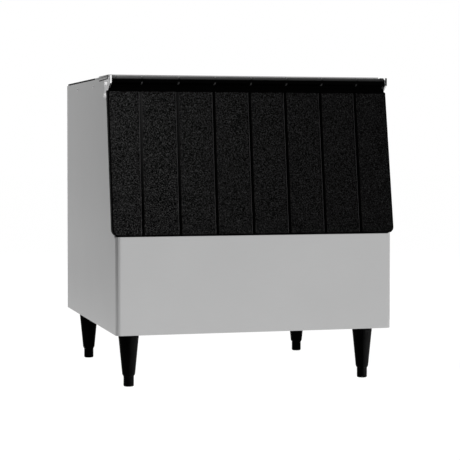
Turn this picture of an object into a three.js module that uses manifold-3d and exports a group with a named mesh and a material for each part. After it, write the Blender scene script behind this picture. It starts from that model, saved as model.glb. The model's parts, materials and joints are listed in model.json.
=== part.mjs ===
// Ice storage bin: an insulated steel cabinet on four adjustable legs, open on top for the ice that
// falls in, with a sloping moulded door that lifts on two hinge pins to let the ice out.
// Millimetres, +Z up, the front towards -Y, the origin on the floor under the cabinet's centre.
import * as THREE from 'three';
import { mergeVertices } from 'three/addons/utils/BufferGeometryUtils.js';
import Module from 'manifold-3d';

const wasm = await Module();
wasm.setup();

// Clearances
const seatGap = 0.3; // between pieces that are fastened to each other
const overrun = 6; // how far a cutting solid runs past what it cuts

// Cabinet
const cabinetWidth = 762;
const cabinetDepth = 787;
const cabinetHeight = 680;
const legHeight = 146; // floor to the underside of the cabinet
const sheet = 1.2; // steel sheet
const foldWidth = 20; // inward folds on the edges of the sheets
const cornerRadius = 14; // vertical front corners
const frontReturn = 16; // how far the lower front reaches round each corner
const lowerFrontHeight = 254.8;
const slopeAngle = THREE.MathUtils.degToRad(10.34);
const slopeSetback = 26; // front of the cabinet to the foot of the sloping opening

// Door
const doorGap = 1.2; // under the door, above the lower front
const doorSetback = 1.4; // front of the cabinet to the door's face, at the door's foot
const doorOverhang = 8; // past the cabinet on each side
const doorDepth = 21.6; // face to the back of the rim, measured level
const doorWall = 3;
const doorEdge = 2.5; // rounding of the edge round the face
const doorFootRadius = 17;
const doorHeadRadius = 3;
const panelCount = 8; // raised panels across the face
const edgePanelWidth = 89; // first and last panel
const grooveWidth = 7.6; // at the face
const grooveFloor = 4.4; // width at its bottom
const grooveDepth = 3.2;
const grooveMargin = 4; // plain border at the head and foot of a groove

// Hinge
const hingeDrop = 8.5; // top of the cabinet down to the hinge axis
const hingeProud = 11.7; // hinge axis in front of the door's face, measured level
const beadRadius = 10.5;
const beadBore = 7.5;
const beadRibProud = 1;
const beadRibWidth = 5;
const beadCollar = 10; // length of the thicker ends of the bead
const beadCollarProud = 1.3;
const neckDrop = 33.8; // hinge axis down to the head of the door's face
const neckRecess = 4; // the neck lies behind the face
const flareHeight = 12; // where the door widens from the neck to the face
const pinRadius = 4;
const pinReach = 30; // into the bead
const pinHeadRadius = 6.5;
const pinHeadHeight = 1.8;
const boreGap = 0.3; // round a pin
const bushFlange = 0.7;
const bushFlangeRadius = 9.5;

// Hinge bracket
const bracketPlate = 2;
const bracketReach = 89; // hinge axis back to the rear edge
const bracketDrop = 47.5; // hinge axis down to the lower edge
const bracketRise = 2.5; // hinge axis up to the top edge behind the ear
const bracketRound = 5; // rounding of the rear corners
const earFront = 12.5; // hinge axis forward to the nose of the ear
const earOffset = 5.9; // outer face of the ear, out from the cabinet's side
const earBack = 13; // hinge axis back to where the ear steps in
const earStep = 10; // length of the step
const earRise = 6.5; // hinge axis up to the top of the ear behind its nose
const earNoseRise = 11.5; // hinge axis up to the top of the nose
const earNoseDrop = 9.5; // hinge axis down to the foot of the nose
const earShoulder = 5; // the nose back to where its top has come down to the ear's
const earHeelBack = 16.5; // hinge axis back to the heel of the ear
const earHeelDrop = 26.5; // hinge axis down to the heel
const foldLength = 24; // of the fold under the ear, from the foot of the nose towards the heel
const capHeadRadius = 5;
const capHeadHeight = 6.8;
const washerRadius = 6.2;
const washerHeight = 1.2;
const screwShankRadius = 3;
const upperScrew = [44, -9.5]; // back and up from the hinge axis
const lowerScrew = [57, -40];
const rivetHeadRadius = 3.6;
const rivetHeadHeight = 1.5;
const rivetShankRadius = 2;
const rivetDrop = 18; // below the top of the cabinet
const rearRivetInset = 192; // from the back of the cabinet
const middleRivetInset = 451;

// Throat, the sloping opening behind the door
const throatWidth = 636;
const throatFootRise = 27; // up the slope from the door's foot
const throatHeadDrop = 28; // down the slope from the head of the door's face
const throatRadius = 28;
const throatFrameDepth = 16;
const collarWall = 3;
const collarReach = 6; // the collar's end behind the frame
const sealWidth = 14;
const sealInset = 6; // throat's edge to the seal
const sealStandoff = 0.5; // seal to the closed door
const plugClearance = 12; // throat's edge to the door's plug
const plugDepth = 16;

// Liner
const linerWall = 3;
const insulation = 48; // outer sheet to liner
const floorRise = 52; // underside of the cabinet to the lowest liner floor
const floorFall = 9; // slope of the floor towards the drain
const coveRadius = 38; // floor to the front and back walls
const cornerCove = 16; // upright corners
const linerFlange = 3;
const deckDrop = 41; // top of the cabinet down to the ceiling of the front deck
const deckBack = 330; // front of the cabinet to the back of that ceiling
const deckRadius = 18;

// Top
const coverFront = 106; // front of the cabinet to the cover
const coverStepBack = 246; // to the step in the cover
const coverBack = 308;
const coverHeight = 7;
const coverStep = 2.6;
const topSealFront = 314;
const topSealWidth = 24;
const topSealHeight = 5;
const topSealInset = 2;
const topSealRadius = 6;

// Drain
const drainInset = 87; // from the back of the cabinet
const drainBore = 9.5;
const drainTube = 13;
const drainFlangeRadius = 24;
const drainFlange = 3;
const drainReach = 40; // below the cabinet
const sumpRadius = 34;
const sumpDrop = 7;
const locknutRadius = 21;
const locknutHeight = 9;
const hexSides = 6;

// Legs
const legInsetSide = 50.8;
const legInsetFront = 93;
const legInsetBack = 82;
const legTopRadius = 27.2;
const legBottomRadius = 17.3;
const legCollar = 16; // straight part at the top
const legLip = 1.2; // rounding of the collar's upper edge
const legToe = 4.8; // height of the chamfer at the sleeve's foot
const legToeStep = 2.4; // how far that chamfer draws in
const footHeight = 28;
const footRadius = 14;
const footRound = 3.5; // rounding of the edge it stands on
const footChamfer = 1; // upper edge
const stemRadius = 6;
const stemLength = 52;
const stemBoreGap = 0.4;
const footTravel = 25; // how far a foot screws out
const studRadius = 6;
const studLength = 18;
const nutPlateSize = 84;
const nutPlate = 3;
const nutRadius = 11;
const nutHeight = 10;
const baseFlange = 22;

// Facets
const roundSteps = 24;
const smallSteps = 16;
const cornerSteps = 6;

// Places that follow from the sizes above
const halfWidth = cabinetWidth / 2;
const frontY = -cabinetDepth / 2;
const backY = cabinetDepth / 2;
const baseZ = legHeight;
const topZ = baseZ + cabinetHeight;
const ledgeZ = baseZ + lowerFrontHeight;
const doorFootZ = ledgeZ + doorGap;
const doorHalfWidth = halfWidth + doorOverhang;
const hingeZ = topZ - hingeDrop;
const doorHeadZ = hingeZ - neckDrop;
const slopeRun = Math.tan(slopeAngle);
const hingeY = slopeY(hingeZ) - hingeProud;
const doorLength = upSlope(doorHeadZ);
const frameFront = slopeSetback - doorSetback; // behind the door's face, measured level
const frameFace = frameFront + sheet + seatGap;
const frameBack = frameFace + throatFrameDepth;
const innerHalfWidth = halfWidth - sheet - seatGap; // inside the side sheets
const coreHalfWidth = innerHalfWidth - sheet - seatGap; // inside the base flange
const linerTopZ = topZ - sheet - seatGap;
const linerHalfWidth = halfWidth - insulation;
const drainY = backY - drainInset;
const floorBackZ = baseZ + floorRise;
const sumpZ = floorBackZ - sumpDrop;
const throatFoot = throatFootRise;
const throatHead = doorLength - throatHeadDrop;
const grooveStep = (2 * doorHalfWidth - 2 * edgePanelWidth) / (panelCount - 2);
const grooves = Array.from({ length: panelCount - 1 }, (_, i) => (i + 1 - panelCount / 2) * grooveStep);

// The level distance from the middle of the cabinet to the plane of the door's face at a height.
function slopeY(z, behind = 0) {
  return frontY + doorSetback + (z - doorFootZ) * slopeRun + behind;
}

// The distance up the slope, from the door's foot, of a height.
function upSlope(z) {
  return (z - doorFootZ) / Math.cos(slopeAngle);
}

// Solids
function solidOf(geometry) {
  geometry.deleteAttribute('normal');
  geometry.deleteAttribute('uv');
  const merged = mergeVertices(geometry);
  const vertProperties = new Float32Array(merged.attributes.position.array);
  const triVerts = new Uint32Array(merged.index.array);
  return new wasm.Manifold(new wasm.Mesh({ numProp: 3, vertProperties, triVerts }));
}

function geometryOf(solid) {
  const { vertProperties, triVerts } = solid.getMesh();
  const geometry = new THREE.BufferGeometry();
  geometry.setAttribute('position', new THREE.BufferAttribute(vertProperties, 3));
  geometry.setIndex(new THREE.BufferAttribute(triVerts, 1));
  geometry.computeVertexNormals();
  return geometry;
}

const joined = (...solids) => solids.reduce((whole, piece) => whole.add(piece));
const cut = (whole, ...tools) => tools.reduce((rest, tool) => rest.subtract(tool), whole);

// A box between two opposite corners, given in any order.
function block(xs, ys, zs) {
  const spans = [xs, ys, zs].map((span) => Math.abs(span[1] - span[0]));
  const middle = [xs, ys, zs].map((span) => (span[0] + span[1]) / 2);
  return solidOf(new THREE.BoxGeometry(...spans).translate(...middle));
}

// A closed outline through its corners, each [across, up] or [across, up, radius].
function outline(corners) {
  const points = corners.flatMap(([across, up, radius = 0], index) => {
    const corner = new THREE.Vector2(across, up);
    if (radius === 0) return [corner];
    const last = corners[(index + corners.length - 1) % corners.length];
    const next = corners[(index + 1) % corners.length];
    const toLast = new THREE.Vector2(last[0], last[1]).sub(corner).normalize();
    const toNext = new THREE.Vector2(next[0], next[1]).sub(corner).normalize();
    const half = toLast.angleTo(toNext) / 2;
    const turn = Math.sign(toNext.cross(toLast));
    const centre = toLast.clone().add(toNext).setLength(radius / Math.sin(half)).add(corner);
    const start = toLast.multiplyScalar(radius / Math.tan(half)).add(corner).sub(centre);
    const sweep = turn * (Math.PI - 2 * half);
    return Array.from({ length: cornerSteps + 1 }, (_, i) =>
      start.clone().rotateAround(new THREE.Vector2(), (sweep * i) / cornerSteps).add(centre));
  });
  return new THREE.Shape(points);
}

// The unit vector from one corner to another.
function direction(from, to) {
  return new THREE.Vector2(to[0] - from[0], to[1] - from[1]).normalize();
}

// How far a corner between two directions moves when both of its sides move left by a distance.
function mitre(into, away, distance) {
  const normals = [into, away].map((way) => new THREE.Vector2(-way.y, way.x));
  const reach = distance / (1 + normals[0].dot(normals[1]));
  return normals[0].add(normals[1]).multiplyScalar(reach);
}

// The same corners, moved in by a distance (out, where it is negative).
function inset(corners, distance) {
  const side = Math.sign(THREE.ShapeUtils.area(corners.map(([x, y]) => new THREE.Vector2(x, y))));
  return corners.map(([x, y, radius = 0], index) => {
    const into = direction(corners[(index + corners.length - 1) % corners.length], [x, y]);
    const away = direction([x, y], corners[(index + 1) % corners.length]);
    const turn = Math.sign(into.cross(away)) * side;
    const shift = mitre(into, away, side * distance);
    return [x + shift.x, y + shift.y, radius === 0 ? 0 : Math.max(radius - turn * distance, 0)];
  });
}

// Corners of a bent strip of even width, on the left of a path.
function strip(path, width) {
  const ways = path.slice(1).map((corner, index) => direction(path[index], corner));
  const left = path.map(([x, y], index) => {
    const shift = mitre(ways[Math.max(index - 1, 0)], ways[Math.min(index, ways.length - 1)], width);
    return [x + shift.x, y + shift.y];
  });
  return [...path, ...left.reverse()];
}

// Corners of a rectangle, with one radius or with one for the foot and one for the head.
function rectangle(left, right, foot, head, radius = 0, headRadius = radius) {
  return [
    [left, foot, radius],
    [right, foot, radius],
    [right, head, headRadius],
    [left, head, headRadius],
  ];
}

function extruded(shape, depth, basis, origin) {
  const geometry = new THREE.ExtrudeGeometry(shape, { depth, bevelEnabled: false });
  return solidOf(geometry.applyMatrix4(basis).translate(...origin));
}

const axisX = new THREE.Vector3(1, 0, 0);
const axisY = new THREE.Vector3(0, 1, 0);
const axisZ = new THREE.Vector3(0, 0, 1);
const axisSlope = new THREE.Vector3(0, Math.sin(slopeAngle), Math.cos(slopeAngle));
const acrossBasis = new THREE.Matrix4().makeBasis(axisY, axisZ, axisX);
const slopeBasis = new THREE.Matrix4().makeBasis(axisX, axisSlope, axisY.clone().negate());
const alongSlopeBasis = new THREE.Matrix4().makeBasis(axisX, axisY, axisSlope);

// A prism along X, its corners given as [y, z].
function prismX(corners, x0, x1) {
  return extruded(outline(corners), Math.abs(x1 - x0), acrossBasis, [Math.min(x0, x1), 0, 0]);
}

// A prism along Z, its corners given as [x, y].
function prismZ(corners, z0, z1) {
  return extruded(outline(corners), z1 - z0, new THREE.Matrix4(), [0, 0, z0]);
}

// A prism that runs level, from one distance behind the door's face to another, its corners given
// as [x, distance up the slope].
function prismSlope(corners, near, far) {
  const origin = [0, slopeY(doorFootZ, far), doorFootZ];
  return extruded(outline(corners), far - near, slopeBasis, origin);
}

// A solid of revolution about a vertical axis, its profile given as [radius, z].
function turned(profile, steps = roundSteps) {
  const points = profile.map(([radius, z]) => new THREE.Vector2(radius, z));
  return solidOf(new THREE.LatheGeometry(points, steps).rotateX(Math.PI / 2));
}

// A solid of revolution about an axis along X, its profile given as [radius, x].
function turnedX(profile, y, z, steps = roundSteps) {
  const points = profile.map(([radius, x]) => new THREE.Vector2(radius, x));
  const geometry = new THREE.LatheGeometry(points, steps).rotateZ(-Math.PI / 2);
  return solidOf(geometry.translate(0, y, z));
}

// A round bar between two places on a vertical axis, or on one along X.
const rod = (radius, z0, z1) => turned([[0, z0], [radius, z0], [radius, z1], [0, z1]]);

function rodX(radius, xs, y, z, steps = roundSteps) {
  const [x0, x1] = [Math.min(...xs), Math.max(...xs)];
  return turnedX([[0, x0], [radius, x0], [radius, x1], [0, x1]], y, z, steps);
}

// Materials
const steelFinish = { roughness: 0.42, metalness: 0.85 };
const brushedSteel = { color: 0xb0b1b2, ...steelFinish };
const galvanised = { color: 0x9ea2a4, roughness: 0.6, metalness: 0.8 };
const polishedSteel = { color: 0xd6d7d8, roughness: 0.2, metalness: 1 };
const blackMoulding = { color: 0x121213, roughness: 0.5, metalness: 0 };
const blackRubber = { color: 0x0c0c0c, roughness: 0.85, metalness: 0 };
const whiteMoulding = { color: 0xe8e9e6, roughness: 0.45, metalness: 0 };
const foam = { color: 0xd9cf9e, roughness: 0.95, metalness: 0 };

function piece(name, solid, finish, place = [0, 0, 0]) {
  const mesh = new THREE.Mesh(geometryOf(solid), new THREE.MeshStandardMaterial(finish));
  mesh.name = name;
  mesh.position.set(...place);
  return mesh;
}

// Cabinet sheets
function sidePanelCorners() {
  const backEdge = backY - sheet - seatGap;
  return [
    [frontY + frontReturn + seatGap, baseZ],
    [backEdge, baseZ],
    [backEdge, topZ],
    [slopeY(topZ, frameFront), topZ],
    [slopeY(ledgeZ, frameFront), ledgeZ],
    [frontY + frontReturn + seatGap, ledgeZ],
  ];
}

function sidePanel(side) {
  const outside = side * halfWidth;
  const inside = side * (halfWidth - sheet);
  const foldEdge = side * (halfWidth - foldWidth);
  const backEdge = backY - sheet - seatGap;
  const slopeFold = rectangle(Math.min(outside, foldEdge), Math.max(outside, foldEdge), 0, upSlope(topZ));
  const topFold = block([outside, foldEdge], [slopeY(topZ, frameFront), backEdge], [topZ - sheet, topZ]);
  const backFold = block([outside, foldEdge], [backEdge - sheet, backEdge], [baseZ, topZ]);
  const solid = joined(
    prismX(sidePanelCorners(), inside, outside),
    prismSlope(slopeFold, frameFront, frameFront + sheet),
    topFold,
    backFold,
  );
  return cut(solid, ...sideFixings().map(({ y, z, radius }) => {
    const through = [side * (halfWidth - sheet - overrun), side * (halfWidth + overrun)];
    return rodX(radius + boreGap, through, y, z, smallSteps);
  }));
}

// Where screws and rivets go through a side, with the radius of each shank.
function sideFixings() {
  const screw = (name, [back, up]) => ({ name, y: hingeY + back, z: hingeZ + up, radius: screwShankRadius });
  const rivet = (name, inset) => ({ name, y: backY - inset, z: topZ - rivetDrop, radius: rivetShankRadius });
  return [
    screw('upper_screw', upperScrew),
    screw('lower_screw', lowerScrew),
    rivet('rear_rivet', rearRivetInset),
    rivet('middle_rivet', middleRivetInset),
  ];
}

// The lower front seen from above, as far back as y1.
function frontPlan(y1) {
  return [
    [-halfWidth, frontY, cornerRadius],
    [halfWidth, frontY, cornerRadius],
    [halfWidth, y1],
    [-halfWidth, y1],
  ];
}

function lowerFrontPanel() {
  const returnY = frontY + frontReturn;
  const shell = cut(
    prismZ(frontPlan(returnY), baseZ, ledgeZ),
    prismZ(inset(frontPlan(returnY + overrun), sheet), baseZ - overrun, ledgeZ - sheet),
  );
  const ledgeBack = slopeY(ledgeZ, frameBack);
  const ledge = block([-innerHalfWidth, innerHalfWidth], [returnY - sheet, ledgeBack], [ledgeZ - sheet, ledgeZ]);
  const tabZ = [baseZ + baseFlange + seatGap, ledgeZ];
  const tabY = [frontY + cornerRadius / 2, returnY + foldWidth];
  const tabs = [-1, 1].map((side) =>
    block([side * innerHalfWidth, side * (innerHalfWidth - sheet)], tabY, tabZ));
  return joined(shell, ledge, ...tabs);
}

function backPanel() {
  const plate = block([-halfWidth, halfWidth], [backY - sheet, backY], [baseZ, topZ]);
  const foldHalf = halfWidth - foldWidth - seatGap;
  const foldY = [backY - foldWidth - sheet, backY];
  return joined(plate, block([-foldHalf, foldHalf], foldY, [topZ - sheet, topZ]));
}

// The base seen from above, moved in by a gap.
function basePlan(gap = 0) {
  const half = innerHalfWidth - gap;
  const back = backY - 2 * sheet - 2 * seatGap - gap;
  const front = frontY + sheet + seatGap + gap;
  const radius = cornerRadius - sheet - gap;
  return rectangle(-half, half, front, back, radius, 0);
}

function basePan() {
  const pan = cut(
    prismZ(basePlan(), baseZ, baseZ + baseFlange),
    prismZ(basePlan(sheet), baseZ + sheet, baseZ + baseFlange + overrun),
  );
  const studs = legPlaces.map(({ x, y }) =>
    rod(studRadius + boreGap, baseZ - overrun, baseZ + overrun).translate([x, y, 0]));
  const drain = rod(drainTube + boreGap, baseZ - overrun, baseZ + overrun).translate([0, drainY, 0]);
  return cut(pan, ...studs, drain);
}

// Liner and insulation
function linerProfile() {
  const front = frontY + insulation;
  const back = backY - insulation;
  const ceiling = topZ - deckDrop;
  const knee = doorFootZ + (front - slopeY(doorFootZ, frameBack + seatGap)) / slopeRun;
  return [
    [front, floorBackZ + floorFall, coveRadius],
    [back, floorBackZ, coveRadius],
    [back, linerTopZ],
    [frontY + deckBack, linerTopZ],
    [frontY + deckBack, ceiling, deckRadius],
    [slopeY(ceiling, frameBack + seatGap), ceiling, deckRadius],
    [front, knee, deckRadius],
  ];
}

// The tub, moved in by a distance, and run up past its top by another.
function tub(distance, rise) {
  const profile = inset(linerProfile(), distance);
  const isOpenTop = (index) => index === 2 || index === 3;
  const raised = profile.map(([y, z, radius], index) => [y, isOpenTop(index) ? linerTopZ + rise : z, radius]);
  const half = linerHalfWidth - distance;
  const [front, back] = [frontY + insulation + distance, backY - insulation - distance];
  const plan = rectangle(-half, half, front, back, cornerCove - distance);
  return prismX(raised, -half, half).intersect(prismZ(plan, baseZ, linerTopZ + rise));
}

function sump(distance, z0, z1) {
  return rod(sumpRadius - distance, z0, z1).translate([0, drainY, 0]);
}

function throatCorners(out = 0) {
  const half = throatWidth / 2;
  return inset(rectangle(-half, half, throatFoot, throatHead, throatRadius), -out);
}

function liner() {
  const flangeFront = slopeY(linerTopZ, frameBack + linerWall);
  const flange = block(
    [-innerHalfWidth, innerHalfWidth],
    [flangeFront, backY - 2 * sheet - 2 * seatGap],
    [linerTopZ - linerFlange, linerTopZ],
  );
  const outside = joined(tub(0, 0), flange, sump(0, sumpZ - linerWall, floorBackZ + linerWall));
  const throat = prismSlope(throatCorners(collarWall + seatGap), frameBack - overrun, frameBack + 2 * overrun);
  return cut(
    outside,
    tub(linerWall, overrun),
    sump(linerWall, sumpZ, floorBackZ + overrun),
    rod(drainTube + boreGap, sumpZ - linerWall - overrun, sumpZ + overrun).translate([0, drainY, 0]),
    throat,
  );
}

function insulationFoam() {
  const foot = baseZ + sheet + seatGap;
  const head = linerTopZ - linerFlange - seatGap;
  const back = basePlan(sheet + seatGap)[2][1];
  const profile = [
    [frontY, foot],
    [back, foot],
    [back, head],
    [slopeY(head, frameBack + seatGap), head],
    [slopeY(ledgeZ, frameBack + seatGap), ledgeZ - sheet - seatGap],
    [frontY, ledgeZ - sheet - seatGap],
  ];
  const filling = prismX(profile, -coreHalfWidth, coreHalfWidth)
    .intersect(prismZ(basePlan(sheet + seatGap), foot, head));
  const nutPockets = legPlaces.map(({ x, y }) => {
    const half = nutPlateSize / 2 + seatGap;
    const pocketTop = foot + nutPlate + nutHeight + studLength;
    const plate = block([x - half, x + half], [y - half, y + half], [foot - overrun, foot + nutPlate + seatGap]);
    return plate.add(rod(nutRadius + seatGap, foot, pocketTop).translate([x, y, 0]));
  });
  return cut(
    filling,
    tub(-seatGap, overrun),
    sump(-seatGap, sumpZ - linerWall - seatGap, floorBackZ + overrun),
    rod(drainTube + boreGap, foot - overrun, sumpZ).translate([0, drainY, 0]),
    ...nutPockets,
  );
}

// Throat frame with its collar, and the seal the door closes on
function throatFrame() {
  const foot = upSlope(ledgeZ + seatGap);
  const head = upSlope(linerTopZ);
  const plate = prismSlope(rectangle(-innerHalfWidth, innerHalfWidth, foot, head), frameFace, frameBack);
  const collar = prismSlope(throatCorners(collarWall), frameFace, frameBack + collarReach);
  return cut(joined(plate, collar), prismSlope(throatCorners(), frameFace - overrun, frameBack + 2 * overrun));
}

function throatSeal() {
  const front = doorDepth + sealStandoff;
  const back = frameFace - seatGap;
  return cut(
    prismSlope(throatCorners(sealInset + sealWidth), front, back),
    prismSlope(throatCorners(sealInset), front - overrun, back + overrun),
  );
}

// Top cover and the seal that the machine above rests on
function topCoverProfile() {
  const foot = topZ + seatGap;
  const head = topZ + coverHeight;
  const low = head - coverStep;
  return [
    [frontY + coverFront, foot],
    [frontY + coverBack, foot],
    [frontY + coverBack, low, sheet],
    [frontY + coverStepBack + coverStep, low],
    [frontY + coverStepBack, head],
    [frontY + coverFront, head, sheet],
  ];
}

function topCover() {
  const profile = inset(topCoverProfile(), sheet);
  const open = profile.map(([y, z, radius], index) => [y, index < 2 ? topZ - overrun : z, radius]);
  return cut(
    prismX(topCoverProfile(), -halfWidth, halfWidth),
    prismX(open, -halfWidth + sheet, halfWidth - sheet),
  );
}

function topSealCorners(inwards) {
  const half = halfWidth - topSealInset;
  const ring = rectangle(-half, half, frontY + topSealFront, backY - topSealInset, topSealRadius);
  return inset(ring, inwards);
}

function topSeal() {
  const foot = topZ + seatGap;
  const head = topZ + topSealHeight;
  return cut(
    prismZ(topSealCorners(0), foot, head),
    prismZ(topSealCorners(topSealWidth), foot - overrun, head + overrun),
  );
}

// Door
function doorCorners() {
  return rectangle(-doorHalfWidth, doorHalfWidth, 0, doorLength, doorFootRadius, doorHeadRadius);
}

// The door's block with its front edge rounded.
function doorBlock() {
  const settings = {
    depth: doorDepth,
    bevelEnabled: true,
    bevelThickness: doorEdge,
    bevelSize: doorEdge,
    bevelOffset: -doorEdge,
    bevelSegments: 3,
  };
  const geometry = new THREE.ExtrudeGeometry(outline(doorCorners()), settings).applyMatrix4(slopeBasis);
  geometry.translate(0, slopeY(doorFootZ, doorDepth + doorEdge), doorFootZ);
  return cut(solidOf(geometry), prismSlope(inset(doorCorners(), -overrun), doorDepth, doorDepth + overrun));
}

// A groove of the door's face, grown by a distance for the rib that it forms inside. Its section is
// level, and it runs up the slope.
function grooveSolid(x, grow) {
  const foot = grooveMargin + doorEdge - grow;
  const head = doorLength - grooveMargin - doorEdge + grow;
  const mouth = grooveWidth / 2 + grow;
  const floor = grooveFloor / 2 + grow;
  const section = [
    [x - mouth, -overrun],
    [x + mouth, -overrun],
    [x + mouth, 0],
    [x + floor, grooveDepth + grow],
    [x - floor, grooveDepth + grow],
    [x - mouth, 0],
  ];
  const footZ = doorFootZ + foot * Math.cos(slopeAngle);
  return extruded(outline(section), head - foot, alongSlopeBasis, [0, slopeY(footZ), footZ]);
}

// The recessed strip over the face, curling forward into the bead.
function neck() {
  const foot = doorHeadZ - doorWall;
  const bendZ = hingeZ - beadRadius - neckRecess;
  const outer = (z) => [slopeY(z, neckRecess), z];
  const inner = (z) => [slopeY(z, neckRecess + doorWall), z];
  const profile = new THREE.Shape();
  profile.moveTo(...outer(foot));
  profile.lineTo(...inner(foot));
  profile.lineTo(...inner(hingeZ - neckRecess));
  profile.quadraticCurveTo(...inner(hingeZ + beadRadius), hingeY, hingeZ + beadRadius - doorWall / 2);
  profile.lineTo(hingeY, hingeZ - beadRadius + doorWall / 2);
  profile.quadraticCurveTo(...outer(hingeZ - beadRadius), ...outer(bendZ));
  const strip = extruded(profile, 2 * doorHalfWidth, acrossBasis, [-doorHalfWidth, 0, 0]);
  const beadHead = upSlope(hingeZ + 2 * beadRadius);
  const flareFoot = upSlope(doorHeadZ);
  const front = [
    [-doorHalfWidth, flareFoot - overrun],
    [doorHalfWidth, flareFoot - overrun],
    [doorHalfWidth, flareFoot],
    [halfWidth, flareFoot + flareHeight],
    [halfWidth, beadHead],
    [-halfWidth, beadHead],
    [-halfWidth, flareFoot + flareHeight],
    [-doorHalfWidth, flareFoot],
  ];
  return strip.intersect(prismSlope(front, -doorDepth, doorDepth + overrun));
}

// The bead along the door's head, with a rib over each groove and a collar at each end.
function beadProfile() {
  const collar = beadRadius + beadCollarProud;
  const end = [
    [collar - beadRibProud, halfWidth],
    [collar, halfWidth - beadRibProud],
    [collar, halfWidth - beadCollar],
    [beadRadius, halfWidth - beadCollar - 2 * beadCollarProud],
  ];
  const ribs = grooves.flatMap((x) => {
    const half = beadRibWidth / 2;
    return [
      [beadRadius, x - half],
      [beadRadius + beadRibProud, x - half + beadRibProud],
      [beadRadius + beadRibProud, x + half - beadRibProud],
      [beadRadius, x + half],
    ];
  });
  return [
    [0, -halfWidth],
    ...end.map(([radius, x]) => [radius, -x]),
    ...ribs,
    ...end.reverse(),
    [0, halfWidth],
  ];
}

function doorShell() {
  const hollow = prismSlope(inset(doorCorners(), doorWall), doorWall, doorDepth + overrun);
  const ribs = grooves.map((x) => grooveSolid(x, doorWall));
  const ribSpace = prismSlope(inset(doorCorners(), doorWall), doorWall / 2, doorDepth);
  const formed = joined(...ribs).intersect(ribSpace);
  const bead = turnedX(beadProfile(), hingeY, hingeZ);
  const body = joined(cut(doorBlock(), hollow), formed, neck(), bead);
  const bore = rodX(beadBore, [-doorHalfWidth, doorHalfWidth], hingeY, hingeZ);
  return cut(body, ...grooves.map((x) => grooveSolid(x, 0)), bore);
}

function plugCorners(inwards = 0) {
  return inset(throatCorners(-plugClearance), inwards);
}

function doorInnerPanel() {
  const flange = prismSlope(inset(doorCorners(), doorWall + seatGap), doorDepth - doorWall, doorDepth);
  const plug = prismSlope(plugCorners(), doorDepth - doorWall, doorDepth + plugDepth);
  const hollow = prismSlope(plugCorners(doorWall), doorDepth - doorWall - overrun, doorDepth + plugDepth - doorWall);
  return cut(joined(flange, plug), hollow);
}

function doorFoam() {
  const gap = doorWall + seatGap;
  const slab = prismSlope(inset(doorCorners(), gap), gap, doorDepth - gap);
  const plug = prismSlope(plugCorners(gap), doorDepth - gap - seatGap, doorDepth + plugDepth - gap);
  return cut(joined(slab, plug), ...grooves.map((x) => grooveSolid(x, gap)));
}

// Hinge
function hingePin(side) {
  const ear = halfWidth + earOffset + seatGap;
  const shank = rodX(pinRadius, [side * (halfWidth - pinReach), side * (ear + pinHeadHeight / 2)], hingeY, hingeZ);
  return shank.add(rodX(pinHeadRadius, [side * ear, side * (ear + pinHeadHeight)], hingeY, hingeZ));
}

function hingeBush(side) {
  const shoulder = halfWidth + seatGap;
  const reach = [side * (halfWidth - pinReach), side * (shoulder + bushFlange / 2)];
  const barrel = rodX(beadBore - seatGap, reach, hingeY, hingeZ);
  const flange = rodX(bushFlangeRadius, [side * shoulder, side * (shoulder + bushFlange)], hingeY, hingeZ);
  const hole = rodX(pinRadius + boreGap, [0, side * (shoulder + overrun)], hingeY, hingeZ);
  return cut(barrel.add(flange), hole);
}

// Plate against the cabinet's side, stepping out to an ear. The ear's front edge is folded inwards,
// down the nose and on under the ear, so that it covers the bead's end.
function hingeBracket(side) {
  const near = halfWidth + seatGap;
  const ear = halfWidth + earOffset;
  const rear = hingeY + bracketReach;
  const nose = hingeY - earFront;
  const noseFoot = hingeZ - earNoseDrop;
  const noseHead = hingeZ + earNoseRise;
  const foldInside = halfWidth + 2 * seatGap + bushFlange;
  const stepY = hingeY + earBack;
  const foot = hingeZ - bracketDrop;
  const head = hingeZ + bracketRise;
  const earHead = hingeZ + earRise;
  const heel = hingeY + earHeelBack;
  const heelZ = hingeZ - earHeelDrop;
  const plan = strip([
    [near, rear],
    [near, stepY + earStep],
    [ear - bracketPlate, stepY],
    [ear - bracketPlate, nose],
  ], bracketPlate).map(([x, y]) => [side * x, y]);
  const profile = [
    [nose, noseFoot, bracketPlate],
    [heel, heelZ, bracketPlate],
    [slopeY(heelZ, frameFront + doorWall), heelZ, bracketPlate],
    [slopeY(foot, frameFront + doorWall), foot, bracketPlate],
    [rear, foot, bracketRound],
    [rear, head, bracketRound],
    [stepY + earStep, head],
    [stepY, earHead],
    [nose + earShoulder, earHead],
    [nose + bracketPlate, noseHead],
    [nose, noseHead],
  ];
  const underside = new THREE.Vector2(heel - nose, heelZ - noseFoot).setLength(foldLength);
  const foldPath = [[nose, noseHead], [nose, noseFoot], [nose + underside.x, noseFoot + underside.y]];
  const fold = prismX(strip(foldPath, bracketPlate), side * foldInside, side * (ear - bracketPlate / 2));
  const plate = prismZ(plan, foot - overrun, noseHead + overrun)
    .intersect(prismX(profile, 0, side * (ear + overrun)));
  const pinHole = rodX(pinRadius + boreGap, [0, side * (ear + overrun)], hingeY, hingeZ);
  const screwHoles = [upperScrew, lowerScrew].map(([back, up]) =>
    rodX(screwShankRadius + boreGap, [0, side * (ear + overrun)], hingeY + back, hingeZ + up, smallSteps));
  return cut(joined(plate, fold), pinHole, ...screwHoles);
}

// A fastener in a cabinet side, from the inside of the sheet out through a face to its head, whose
// profile is given as [radius, height over the face].
function sideFastener(side, face, shankRadius, head) {
  const inner = halfWidth - sheet;
  const profile = [
    [0, inner],
    [shankRadius, inner],
    [shankRadius, face],
    ...head.map(([radius, height]) => [radius, face + height]),
  ];
  const solid = turnedX(profile, 0, 0, smallSteps);
  return side > 0 ? solid : solid.rotate([0, 0, 180]);
}

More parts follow.
